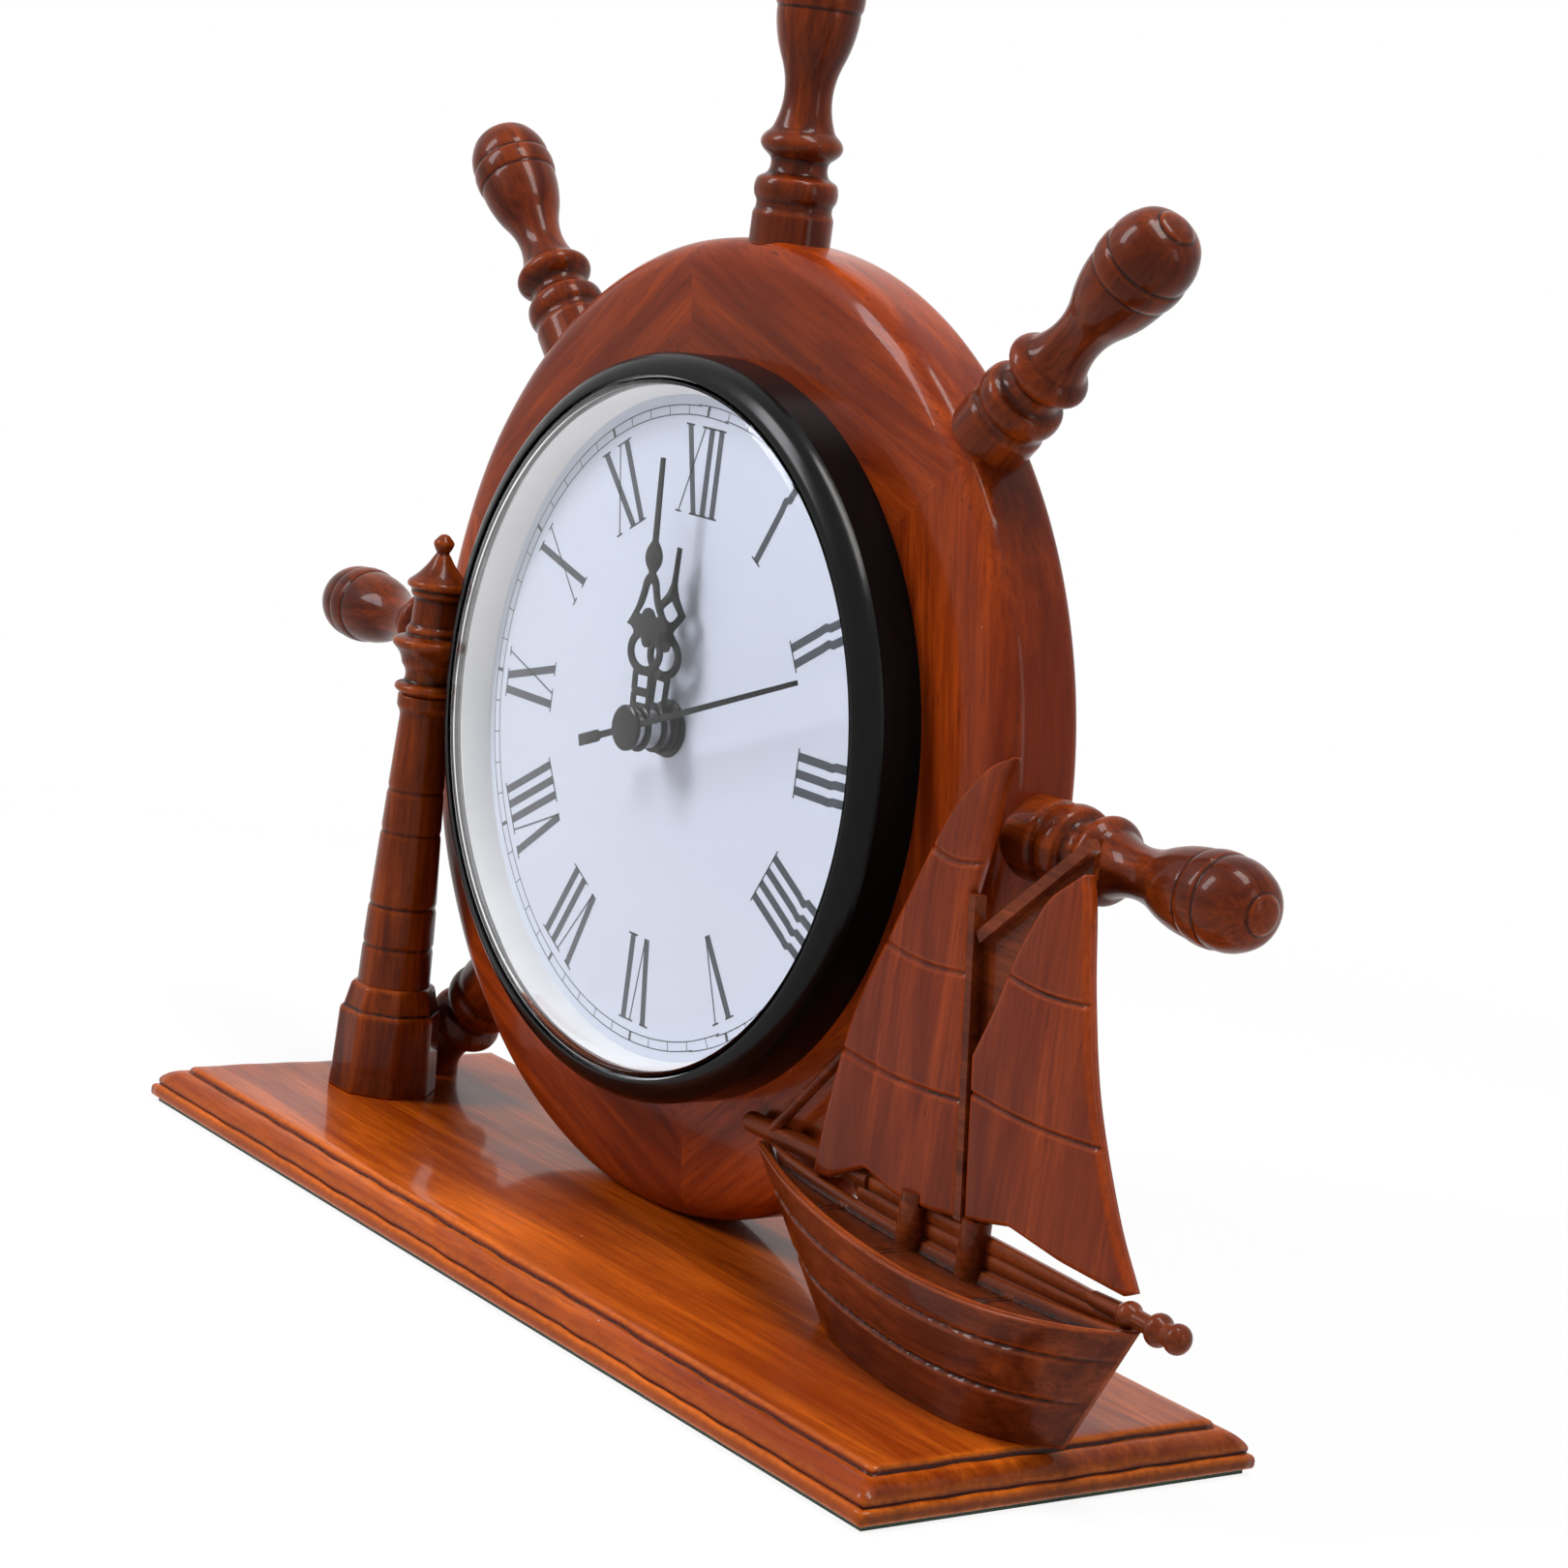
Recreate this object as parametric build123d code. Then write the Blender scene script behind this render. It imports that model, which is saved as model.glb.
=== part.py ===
from build123d import *
from math import atan2, cos, hypot, radians, sin, tan
import os

# Wooden desk clock: a ship's wheel that carries a battery clock insert, a lighthouse and a sailing
# boat on a moulded plinth. Millimetres. +X is to the right of someone who faces the dial, +Y runs
# to the back and +Z up. The origin is the middle of the face that the clock stands on.

# Fits, and the overrun that every cut shares
overrun = 1.0
running_clearance = 0.05
press_clearance = 0.02
loose_clearance = 0.2
air_gap = 0.3

# Plinth: a moulded board on a felt sheet
plinth_length = 230.0
plinth_depth = 80.0
plinth_top = 8.0
felt_thickness = 1.0
felt_inset = 1.2
plinth_edge_height = 2.4
plinth_quirk = 0.7
plinth_bead_radius = 3.2
plinth_table_step = 0.8
plinth_table_round = 0.6

# Screws that come up through the plinth
screw_radius = 1.4
screw_head_radius = 2.8
screw_length = 17.0
screw_sink = 0.2
disc_screw_spacing = 11.0
lighthouse_screw_length = 13.0
hull_screw_spacing = 28.0

# Wheel disc, standing on a small flat planed across its rim
wheel_x = -16.0
wheel_front = 5.5
wheel_thickness = 16.0
wheel_radius = 87.3
wheel_flat = 0.6
wheel_front_round = 3.5
wheel_back_round = 1.5
insert_bore_radius = 62.3

# Spokes, turned, each glued into the rim by a tenon
spoke_reach = 53.2
spoke_radius = 7.8
spoke_setback = 0.8
spoke_root = 1.2
tenon_radius = 3.5
tenon_length = 12.0
spoke_hours = ("12", "0130", "03", "0430", "0730", "09", "1030")
spoke_turns = (0.0, 45.0, 90.0, 135.0, 225.0, 270.0, 315.0)

# Lighthouse: faceted foot, turned tower, turned lantern
lighthouse_inset = 24.8
lighthouse_y = -3.0
foot_sides = 8
foot_width = 18.6
foot_height = 16.0
foot_flare = 0.5
foot_shoulder_height = 5.0
foot_shoulder_width = 15.4
tower_height = 57.0
tower_radius = 7.1
lantern_height = 31.5
lantern_radius = 7.7
peg_radius = 2.2
peg_length = 5.0

# Sailing boat: a hull with a flat back, carved sails and round spars
boat_plane = 1.2
hull_stern = 27.4
hull_bow = 126.2
hull_keel_stern = 52.0
hull_keel_bow = 112.7
hull_height = 25.0
hull_beam = 12.4
hull_keel_beam = 10.3
hull_back = 4.0
hull_transom = 2.4
sheer_stern = 24.2
sheer_middle = 20.0
sheer_bow = 23.2
bulwark_height = 2.0
bulwark_wall = 2.0
plank_groove = 0.7
post_radius = 2.5
post_rise = 1.0
aft_post_x = 69.0
fore_post_x = 84.5
mast_foot_x = 81.0
mast_foot_z = 34.6
mast_head_x = 73.6
mast_head_z = 86.0
mast_width = 1.6
sail_thickness = 2.4
sail_groove = 0.6
panel_thickness = 1.2
panel_foot_width = 6.0
panel_low_share = 0.24
panel_side_share = 0.93
aft_sail_width = 38.0
aft_sail_height = 74.5
fore_sail_width = 41.0
fore_sail_height = 60.5
luff_foot_share = 0.435
gaff_width = 2.0
gaff_thickness = 2.0
gaff_head_x = 98.0
gaff_head_z = 100.6
gaff_foot_z = 80.4
boom_radius = 1.9
boom_tip_x = 19.5
boom_length = 36.0
aft_spar_radius = 1.0
aft_spar_low_share = 1.38
aft_spar_high_share = 0.90
aft_spar_rise_share = 0.26
rail_width = 1.8
rail_end_x = 121.5
bowsprit_radius = 2.4
bowsprit_length = 21.0
bowsprit_tip_x = 134.5

# Clock insert, measured from the wood's face towards the viewer
bezel_radius = 66.2
bezel_height = 11.5
bezel_wall = 2.6
bezel_shoulder = 3.6
bezel_shoulder_share = 0.16
bezel_lip_radius = 61.9
bezel_lip = 1.8
bezel_snap = 0.5
bezel_snap_height = 0.7
lens_wall = 1.5
lens_flange = 1.2
lens_apex = 18.0
lens_shoulder = 4.2
lens_dome_share = 0.65
lens_shoulder_share = 0.193
dial_height = 3.2
dial_thickness = 0.8
inner_ring_radius = 59.0
cup_wall = 1.4
cup_floor = 1.6
cup_depth = 13.1
band_thickness = 1.7
band_width = 4.0
band_setback = 3.0
cup_window_margin = 0.8

# Hands
hour_hand_length = 32.3
minute_hand_length = 47.6
second_hand_length = 49.7
second_tail_length = 15.0
hand_thickness = 0.4
hour_hand_lift = 3.5
minute_hand_lift = 6.8
second_hand_lift = 9.2
hand_hub_radius = 4.2
hand_hub_thickness = 0.8
hand_collet_radius = 3.2
hand_collet_length = 0.5
hand_border = 1.1
second_hand_width = 0.8
second_tail_width = 1.9
second_cap_radius = 4.05
second_cap_thickness = 0.7
hour_hand_turn = 2.0
minute_hand_turn = -3.0
second_hand_turn = 70.0

# Nut, washers and the pipes through the dial
washer_radius = 7.0
washer_thickness = 0.4
nut_width = 11.0
nut_sides = 6
nut_thickness = 1.5
bush_radius = 3.95
bush_rise = 0.2
rubber_washer_radius = 12.0
rubber_washer_thickness = 0.8
hour_pipe_radius = 2.55
minute_pipe_radius = 1.6
second_arbor_radius = 0.5

# Movement case and what stands in it
case_width = 56.0
case_depth = 15.8
case_wall = 1.2
case_round = 3.0
battery_radius = 7.25
battery_length = 49.5
battery_button_radius = 2.7
battery_button_length = 1.0
battery_margin = 0.35
contact_thickness = 0.4
contact_width = 9.0
train_plate_thickness = 1.0
train_plate_setback = 1.0
train_plate_height = 30.0
plate_post_radius = 1.6
pivot_radius = 0.5
arbor_radius = 0.7
boss_radius = 1.7

# Wheels of the train
gear_thickness = 0.8
gear_rim_gap = 0.9
train_distance = 11.0
train_angle = 35.0
motion_distance = 7.2
motion_angle = 180.0
idler_distance = 8.2
idler_angle = 140.0
rotor_distance = 7.0
rotor_angle = 100.0
rotor_pinion_teeth = 8
idler_wheel_teeth = 48
idler_pinion_teeth = 8
second_wheel_teeth = 40
second_pinion_teeth = 8
third_wheel_teeth = 60
third_pinion_teeth = 8
centre_wheel_teeth = 64
centre_pinion_teeth = 10
minute_wheel_teeth = 30
minute_pinion_teeth = 8
hour_wheel_teeth = 32
knob_pinion_teeth = 12
rotor_radius = 3.0
rotor_length = 1.8
knob_radius = 5.0
knob_thickness = 1.4
knob_arbor_radius = 1.3
pivot_length = 2.0
pivot_sink_share = 0.6
tooth_rise_share = 0.75
tooth_fall_share = 1.05
tooth_root_share = 0.50
tooth_tip_share = 0.22

# Coil, stator, circuit board and crystal
stator_thickness = 0.8
stator_width = 40.0
stator_height = 9.0
stator_arm_width = 6.0
stator_gap = 0.5
coil_radius = 2.4
coil_length = 24.0
coil_flange_radius = 2.6
coil_flange_thickness = 0.8
coil_core_width = 2.0
board_width = 14.0
board_height = 13.0
board_lift = 1.2
board_thickness = 0.8
crystal_radius = 1.0
crystal_length = 6.0

# Sizes that follow
lighthouse_x = lighthouse_inset - plinth_length / 2
wheel_z = plinth_top + wheel_radius - wheel_flat
spoke_y = wheel_front + wheel_thickness / 2 + spoke_setback
insert_frame = Location(Plane(origin=(wheel_x, wheel_front, wheel_z), x_dir=(1, 0, 0), z_dir=(0, -1, 0)))
dial_back = dial_height - dial_thickness
cup_radius = insert_bore_radius - band_thickness
cup_flange_radius = bezel_radius - bezel_wall - loose_clearance
case_front = dial_back - rubber_washer_thickness
case_back = case_front - case_depth
case_inside = case_front - case_wall
cover_inside = case_back + case_wall
chamber_depth = case_inside - cover_inside
battery_z = -case_width / 2 + case_wall + battery_margin + battery_radius
battery_height = case_inside - running_clearance - battery_radius
bay_top = battery_z + battery_radius + battery_margin
chamber_bottom = bay_top + case_wall
train_plate_width = stator_width - 2 * train_plate_setback
plate_centre = chamber_bottom + loose_clearance + train_plate_height / 2
nut_top = dial_height + washer_thickness + nut_thickness
bush_top = nut_top + bush_rise
hour_hand_height = dial_height + hour_hand_lift
minute_hand_height = dial_height + minute_hand_lift
second_hand_height = dial_height + second_hand_lift

# Depth of each wheel behind the inner face of the case's front
hour_level = air_gap
minute_level = hour_level + gear_thickness + air_gap
centre_level = minute_level + gear_thickness + air_gap
third_level = centre_level + gear_thickness + gear_rim_gap
plate_level = third_level + gear_thickness + 2 * air_gap
second_level = plate_level + train_plate_thickness + air_gap
idler_level = second_level + gear_thickness + 2 * air_gap
rotor_level = idler_level + gear_thickness + 2 * air_gap
stator_level = rotor_level + (rotor_length - stator_thickness) / 2


def polar(distance, turn):
    """Point at a distance from the origin, at an angle counted from +X"""
    return (distance * cos(radians(turn)), distance * sin(radians(turn)))


third_place = polar(train_distance, train_angle)
motion_place = polar(motion_distance, motion_angle)
knob_distance = motion_distance * (1 + (minute_wheel_teeth + knob_pinion_teeth)
                                   / (minute_wheel_teeth + centre_pinion_teeth))
knob_place = polar(knob_distance, motion_angle)
idler_place = polar(idler_distance, idler_angle)
rotor_step = polar(rotor_distance, rotor_angle)
rotor_place = (idler_place[0] + rotor_step[0], idler_place[1] + rotor_step[1])


def save(shape, name):
    """Write one sub-part"""
    export_step(shape, f"parts/{name}.step")


def slab(length, depth, bottom, top):
    """Upright block about the Z axis"""
    align = (Align.CENTER, Align.CENTER, Align.MIN)
    return Pos(0, 0, bottom) * Box(length, depth, top - bottom, align=align)


def rod(radius, bottom, top, place=(0, 0)):
    """Round bar along Z from one height to another"""
    align = (Align.CENTER, Align.CENTER, Align.MIN)
    return Pos(place[0], place[1], bottom) * Cylinder(radius, top - bottom, align=align)


def tube(radius, bore, bottom, top, place=(0, 0)):
    """Round bar with a through bore"""
    return rod(radius, bottom, top, place) - rod(bore, bottom - overrun, top + overrun, place)


def curved_wire(rows):
    """Closed wire through (x, y, bulge): bulge is the rise of the arc that arrives there, as a share
    of its chord, and is positive to the right of the way taken"""
    edges = []
    for index, row in enumerate(rows):
        start = rows[index - 1]
        run = row[0] - start[0]
        rise = row[1] - start[1]
        bulge_share = row[2] if len(row) > 2 else 0
        if bulge_share:
            middle_x = (start[0] + row[0]) / 2 + rise * bulge_share
            middle_y = (start[1] + row[1]) / 2 - run * bulge_share
            edges.append(ThreePointArc(start[:2], (middle_x, middle_y), row[:2]))
        else:
            edges.append(Line(start[:2], row[:2]))
    return Wire(edges)


def cap_share(radius, rise):
    """Bulge share of the arc from a cap's rim to its pole, so that the cap is part of a ball"""
    return tan(atan2(rise, radius) / 2) / 2


def turned(rows):
    """Solid of revolution about Z from rows of (radius, height, bulge); an arc to the axis is a cap"""
    outline = []
    for index, row in enumerate(rows):
        start = rows[index - 1]
        if len(row) > 2 and row[0] == 0:
            row = (0, row[1], cap_share(start[0], row[1] - start[1]))
        if len(row) > 2 and start[0] == 0:
            row = (row[0], row[1], -cap_share(row[0], start[1] - row[1]))
        outline.append(row)
    return revolve(Plane.XZ * Face(curved_wire(outline)), Axis.Z)


def scaled_rows(shares, radius, length, start=0):
    """Rows of (radius, height, bulge) from shares of one radius and one length"""
    return [(share[1] * radius, start + share[0] * length, *share[2:]) for share in shares]


def board(face, front, thickness):
    """Flat board in the XZ plane, from its front face towards the back"""
    return Pos(0, front, 0) * extrude(Plane.XZ * face, thickness, dir=Axis.Y.direction)


def upright(rows, front, thickness):
    """Flat board from rows of (x, z, bulge), from its front face towards the back"""
    return board(Face(curved_wire(rows)), front, thickness)


def bar_between(start, end, radius):
    """Round bar from one point to another"""
    way = Vector(*end) - Vector(*start)
    base = Plane(origin=start, z_dir=way)
    return Location(base) * rod(radius, 0, way.length)


# Plinth

def plinth_board():
    """Board with a straight lower edge, a quarter-round bead and a raised table"""
    bead_top = felt_thickness + plinth_edge_height + plinth_bead_radius
    bead_length = plinth_length - 2 * plinth_quirk
    bead_depth = plinth_depth - 2 * plinth_quirk
    table_inset = plinth_quirk + plinth_bead_radius + plinth_table_step
    edge = slab(plinth_length, plinth_depth, felt_thickness, felt_thickness + plinth_edge_height)
    bead = slab(bead_length, bead_depth, felt_thickness, bead_top)
    bead = fillet(bead.faces().sort_by(Axis.Z)[-1].edges(), plinth_bead_radius)
    table = slab(plinth_length - 2 * table_inset, plinth_depth - 2 * table_inset, felt_thickness, plinth_top)
    table = fillet(table.faces().sort_by(Axis.Z)[-1].edges(), plinth_table_round)
    board = edge + bead + table
    for place, length in screw_places():
        board -= screw(place, length, running_clearance)
    return board


def screw(place, length, clearance=0):
    """Countersunk wood screw pointing up, or with a clearance the hole for it, open below"""
    head = felt_thickness + screw_sink
    neck = screw_head_radius - screw_radius
    mouth = head - overrun if clearance else head
    rows = [
        (0, mouth),
        (screw_head_radius + clearance, mouth),
        (screw_radius + clearance, head + neck),
        (screw_radius + clearance, head + length - screw_radius),
        (0, head + length + clearance),
    ]
    if clearance:
        rows.insert(2, (screw_head_radius + clearance, head))
    return Pos(place[0], place[1], 0) * turned(rows)


def screw_places():
    """Every screw's place and length: two in the disc, one in the lighthouse, two in the hull"""
    disc_y = wheel_front + wheel_thickness / 2
    hull_x = (hull_keel_stern + hull_keel_bow) / 2
    hull_y = (hull_back - hull_keel_beam) / 2
    places = []
    for side in (-1, 1):
        places.append(((wheel_x + side * disc_screw_spacing / 2, disc_y), screw_length))
        places.append(((hull_x + side * hull_screw_spacing / 2, hull_y), screw_length))
    places.append(((lighthouse_x, lighthouse_y), lighthouse_screw_length))
    return places


def base_screws():
    """The five screws, apart from each other"""
    return Compound([screw(place, length) for place, length in screw_places()])


def base_felt():
    """Felt sheet under the board"""
    return slab(plinth_length - 2 * felt_inset, plinth_depth - 2 * felt_inset, 0, felt_thickness)


# Wheel

def wheel_blank():
    """Round board with a rounded front edge, a softer back edge and a flat on its lowest rim"""
    blank = rod(wheel_radius, -wheel_thickness, 0)
    blank = fillet(blank.edges().sort_by(Axis.Z)[-1], wheel_front_round)
    blank = fillet(blank.edges().sort_by(Axis.Z)[0], wheel_back_round)
    blank = insert_frame * blank
    return blank - slab(2 * wheel_radius + 2 * abs(wheel_x), plinth_depth, -wheel_radius, plinth_top)


def wheel_disc():
    """The blank with its bore, the spokes' sockets and the screws' holes"""
    disc = wheel_blank()
    disc -= insert_frame * rod(insert_bore_radius, -wheel_thickness - overrun, overrun)
    for turn in spoke_turns:
        socket = rod(tenon_radius + press_clearance, -tenon_length - air_gap, overrun)
        disc -= spoke_location(turn) * socket
    for place, length in screw_places():
        disc -= screw(place, length, running_clearance)
    return disc


def spoke_location(turn):
    """Frame on the rim with its Z axis along the spoke, turned clockwise from twelve"""
    across = wheel_radius * sin(radians(turn))
    up = wheel_radius * cos(radians(turn))
    return Location((wheel_x + across, spoke_y, wheel_z + up), (0, turn, 0))


SPOKE_SHARES = (
    (0.085, 0.92),
    (0.10, 0.86),
    (0.125, 0.86),
    (0.135, 0.92),
    (0.20, 0.90, 0.10),
    (0.215, 0.70),
    (0.265, 0.66, -0.10),
    (0.285, 0.83),
    (0.345, 0.84, 0.26),
    (0.36, 0.72),
    (0.585, 0.70, -0.105),
    (0.745, 0.945, 0.045),
    (0.752, 0.925),
    (0.760, 0.975),
    (0.825, 0.990, 0.04),
    (0.832, 0.945),
    (0.840, 0.965),
    (0.925, 0.840, 0.07),
    (0.980, 0.420, 0.12),
    (1.0, 0.0, 0.06),
)


def spoke(turn, disc):
    """Turned spoke with its tenon, hollowed to the rim and cut off at the plinth's top"""
    rows = [(0, -tenon_length), (tenon_radius, -tenon_length), (tenon_radius, -spoke_root)]
    rows.append((SPOKE_SHARES[0][1] * spoke_radius, -spoke_root))
    rows += scaled_rows(SPOKE_SHARES, spoke_radius, spoke_reach)
    shape = spoke_location(turn) * turned(rows) - disc
    if cos(radians(turn)) < 0:
        shape -= slab(2 * plinth_length, 2 * plinth_depth, -plinth_length, plinth_top)
    return shape


# Lighthouse

def prism(width, bottom, top, top_width):
    """Upright tapered prism with flats to the front and the sides"""
    turn = 180 / foot_sides
    low = RegularPolygon(width / 2, foot_sides, major_radius=False, rotation=turn)
    high = RegularPolygon(top_width / 2, foot_sides, major_radius=False, rotation=turn)
    return loft([(Pos(0, 0, bottom) * low).face(), (Pos(0, 0, top) * high).face()], ruled=True)


def lighthouse_foot():
    """Flared octagonal block with a sloping shoulder, bored for the tower's peg and the screw"""
    shoulder_bottom = plinth_top + foot_height
    shoulder_top = shoulder_bottom + foot_shoulder_height
    foot = prism(foot_width + 2 * foot_flare, plinth_top, shoulder_bottom, foot_width)
    foot += prism(foot_width - 2 * foot_flare, shoulder_bottom, shoulder_top, foot_shoulder_width)
    foot -= rod(peg_radius + press_clearance, shoulder_top - peg_length - air_gap, shoulder_top + overrun)
    foot = Pos(lighthouse_x, lighthouse_y, 0) * foot
    for place, length in screw_places():
        foot -= screw(place, length, running_clearance)
    return foot


TOWER_SHARES = (
    (0.0, 1.0),
    (0.125, 0.97),
    (0.135, 0.92),
    (0.145, 0.965),
    (0.265, 0.93),
    (0.275, 0.87),
    (0.285, 0.915),
    (0.52, 0.83),
    (0.53, 0.78),
    (0.54, 0.82),
    (0.665, 0.78),
    (0.675, 0.73),
    (0.685, 0.77),
    (0.93, 0.67),
    (0.96, 0.78, -0.1),
    (1.0, 0.78),
)

LANTERN_SHARES = (
    (0.0, 0.62),
    (0.02, 0.74),
    (0.07, 0.80, 0.35),
    (0.085, 0.62),
    (0.19, 0.72, -0.16),
    (0.30, 0.98, -0.12),
    (0.345, 1.0, 0.10),
    (0.36, 0.86),
    (0.375, 0.66),
    (0.42, 0.68, 0.2),
    (0.435, 0.60),
    (0.60, 0.58),
    (0.615, 0.66),
    (0.655, 0.66, 0.2),
    (0.67, 0.80),
    (0.70, 0.80),
    (0.87, 0.20, -0.06),
    (0.885, 0.13),
    (0.91, 0.21, 0.2),
    (0.975, 0.16, 0.3),
    (1.0, 0.0, 0.15),
)


def lighthouse_piece(shares, radius, bottom, height, socket):
    """Turned piece of the lighthouse with a peg below and, if it carries another, a socket on top"""
    rows = [(0, bottom - peg_length), (peg_radius, bottom - peg_length), (peg_radius, bottom)]
    rows += scaled_rows(shares, radius, height, bottom)
    if socket:
        rows.append((0, bottom + height))
    piece = turned(rows)
    if socket:
        piece -= rod(peg_radius + press_clearance, bottom + height - peg_length - air_gap,
                     bottom + height + overrun)
    return Pos(lighthouse_x, lighthouse_y, 0) * piece


def lighthouse_tower():
    """Tapered turned tower with two pairs of grooves"""
    bottom = plinth_top + foot_height + foot_shoulder_height
    return lighthouse_piece(TOWER_SHARES, tower_radius, bottom, tower_height, True)


def lighthouse_lantern():
    """Gallery, lantern, roof and ball, turned in one"""
    bottom = plinth_top + foot_height + foot_shoulder_height + tower_height
    return lighthouse_piece(LANTERN_SHARES, lantern_radius, bottom, lantern_height, False)


# Sailing boat

HULL_SIDE_SHARES = (
    (0.0, 0.0),
    (0.14, 0.42),
    (0.34, 0.76),
    (0.60, 1.0),
    (0.80, 0.93),
    (0.93, 0.56),
    (1.0, 0.0),
)
PLANK_SHARES = (0.38, 0.74)


def hull_section(stern, bow, beam, height, inset=0):
    """Outline in plan: full on the near side, nearly flat at the back, square at the stern"""
    stern += 2 * inset
    bow -= 2 * inset
    half_transom = hull_transom / 2
    points = [(stern + along * (bow - stern), -out * (beam - inset) - half_transom * (1 - along))
              for along, out in HULL_SIDE_SHARES]
    stem_back = (bow, half_transom / 2)
    stern_back = (stern, half_transom)
    middle = ((stern + bow) / 2, hull_back - inset)
    edges = [Spline(*points), Line(points[-1], stem_back), ThreePointArc(stem_back, middle, stern_back),
             Line(stern_back, points[0])]
    return Pos(0, 0, height) * Face(Wire(edges))


def hull_body(inset):
    """Flared hull between its keel and its highest outline"""
    keel = hull_section(hull_keel_stern, hull_keel_bow, hull_keel_beam, plinth_top, inset)
    top = hull_section(hull_stern, hull_bow, hull_beam, plinth_top + hull_height, inset)
    return loft([keel, top], ruled=True)


def sheer_band(share, bottom_drop, top_rise):
    """Board across the hull whose edges follow the sheer, at a share of the sheer's height"""
    low = [(x, plinth_top + share * z - bottom_drop) for x, z in sheer_points()]
    high = [(x, plinth_top + share * z + top_rise) for x, z in sheer_points()]
    lower = ThreePointArc(*low)
    upper = ThreePointArc(*high)
    face = Face(Wire([lower, Line(low[-1], high[-1]), upper, Line(high[0], low[0])]))
    return board(face, -plinth_depth / 2, plinth_depth)


def sheer_points():
    """Three points of the gunwale's line in the XZ plane, past both ends"""
    middle = (hull_stern + hull_bow) / 2
    return ((hull_stern - overrun, sheer_stern), (middle, sheer_middle), (hull_bow + overrun, sheer_bow))


def boat_hull():
    """Hull with its sheer, a sunk deck, two plank grooves and the sockets of the posts"""
    hull = hull_body(0) - sheer_band(1, 0, hull_height)
    well = hull_body(bulwark_wall) & sheer_band(1, bulwark_height, hull_height)
    hull -= well
    core = hull_body(plank_groove)
    for share in PLANK_SHARES:
        hull -= sheer_band(share, plank_groove / 2, plank_groove / 2) - core
    for place, length in screw_places():
        hull -= screw(place, length, running_clearance)
    return hull


def boat_post(x, radius, fixed):
    """Short round post that stands on the deck and is slotted for what it carries"""
    shape = Pos(x, boat_plane, 0) * rod(radius, plinth_top + screw_length + overrun, mast_foot_z + post_rise)
    for piece in fixed:
        shape -= piece
    return shape.solids().sort_by(SortBy.VOLUME)[-1]


def mast_x(z):
    """Mast's middle at one height"""
    return mast_foot_x + (mast_head_x - mast_foot_x) * (z - mast_foot_z) / (mast_head_z - mast_foot_z)


AFT_SAIL_FOOT_SHARES = ((-0.19, -0.012), (-0.43, -0.016), (-0.66, 0.014), (-0.90, -0.048), (-1.02, -0.056))
AFT_SAIL_EDGE_SHARES = (
    (-0.975, 0.126),
    (-0.88, 0.35),
    (-0.66, 0.60),
    (-0.44, 0.835),
    (-0.24, 0.955),
    (-0.08, 1.0),
)
AFT_SAIL_TIP_SHARES = ((-0.12, 0.94), (-0.15, 0.82))
FORE_SAIL_FOOT_SHARES = ((0.14, 0.02), (0.29, 0.042), (0.60, 0.015), (0.95, 0.004), (1.0, 0.022))
FORE_SAIL_LEECH_SHARES = ((0.84, 0.18), (0.65, 0.44), (0.54, 0.69), (0.47, 0.92), (0.425, 1.0))
FORE_SAIL_LUFF_SHARES = ((0.25, 0.915), (0.17, 0.83), (0.09, 0.72), (0.02, 0.58))


AFT_GROOVE_SHARES = (0.25, 0.52, 0.76)
FORE_GROOVE_SHARES = (0.34, 0.68)


def aft_points(shares):
    """Points of the aft sail from its shares, counted from the mast's foot"""
    return [(mast_foot_x + along * aft_sail_width, mast_foot_z + up * aft_sail_height)
            for along, up in shares]


def fore_points(shares):
    """Points of the fore sail from its shares, counted from the mast's foot"""
    return [(mast_foot_x + along * fore_sail_width, mast_foot_z + up * fore_sail_height)
            for along, up in shares]


def aft_sail_face():
    """Outline of the aft sail: a stepped foot, a long curved edge and a tip that leans forward"""
    foot = [(mast_foot_x - mast_width / 2, mast_foot_z)] + aft_points(AFT_SAIL_FOOT_SHARES)
    edge = [foot[-1]] + aft_points(AFT_SAIL_EDGE_SHARES)
    head = (mast_head_x - mast_width / 2, mast_head_z)
    tip = [edge[-1]] + aft_points(AFT_SAIL_TIP_SHARES) + [head]
    edges = [Line(start, end) for start, end in zip(foot, foot[1:])]
    edges += [Spline(*edge), Spline(*tip), Line(head, foot[0])]
    return Face(Wire(edges))


def fore_sail_face():
    """Outline of the fore sail: hollow luff, straight mast side, long leech and a lifted foot"""
    start = (mast_foot_x + mast_width / 2, mast_foot_z)
    foot = [start] + fore_points(FORE_SAIL_FOOT_SHARES)
    leech = [foot[-1]] + fore_points(FORE_SAIL_LEECH_SHARES)
    luff_end = mast_foot_z + luff_foot_share * fore_sail_height
    luff = [leech[-1]] + fore_points(FORE_SAIL_LUFF_SHARES) + [(mast_x(luff_end) + mast_width / 2, luff_end)]
    edges = [Spline(*foot), Spline(*leech), Spline(*luff), Line(luff[-1], start)]
    return Face(Wire(edges))


def sail(face, groove_shares, height):
    """Board of one sail with shallow grooves across its front, where its cloths meet"""
    front = boat_plane - sail_thickness / 2
    shape = board(face, front, sail_thickness)
    for share in groove_shares:
        groove = Pos(mast_foot_x, front, mast_foot_z + share * height)
        shape -= groove * Box(plinth_length, sail_groove, sail_groove)
    return shape


def boat_mast():
    """Narrow mast strip between the sails, leaning aft"""
    half = mast_width / 2
    front = boat_plane - sail_thickness / 2
    rows = [(mast_foot_x - half, mast_foot_z), (mast_foot_x + half, mast_foot_z),
            (mast_head_x + half, mast_head_z), (mast_head_x - half, mast_head_z)]
    return upright(rows, front, sail_thickness)


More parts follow.
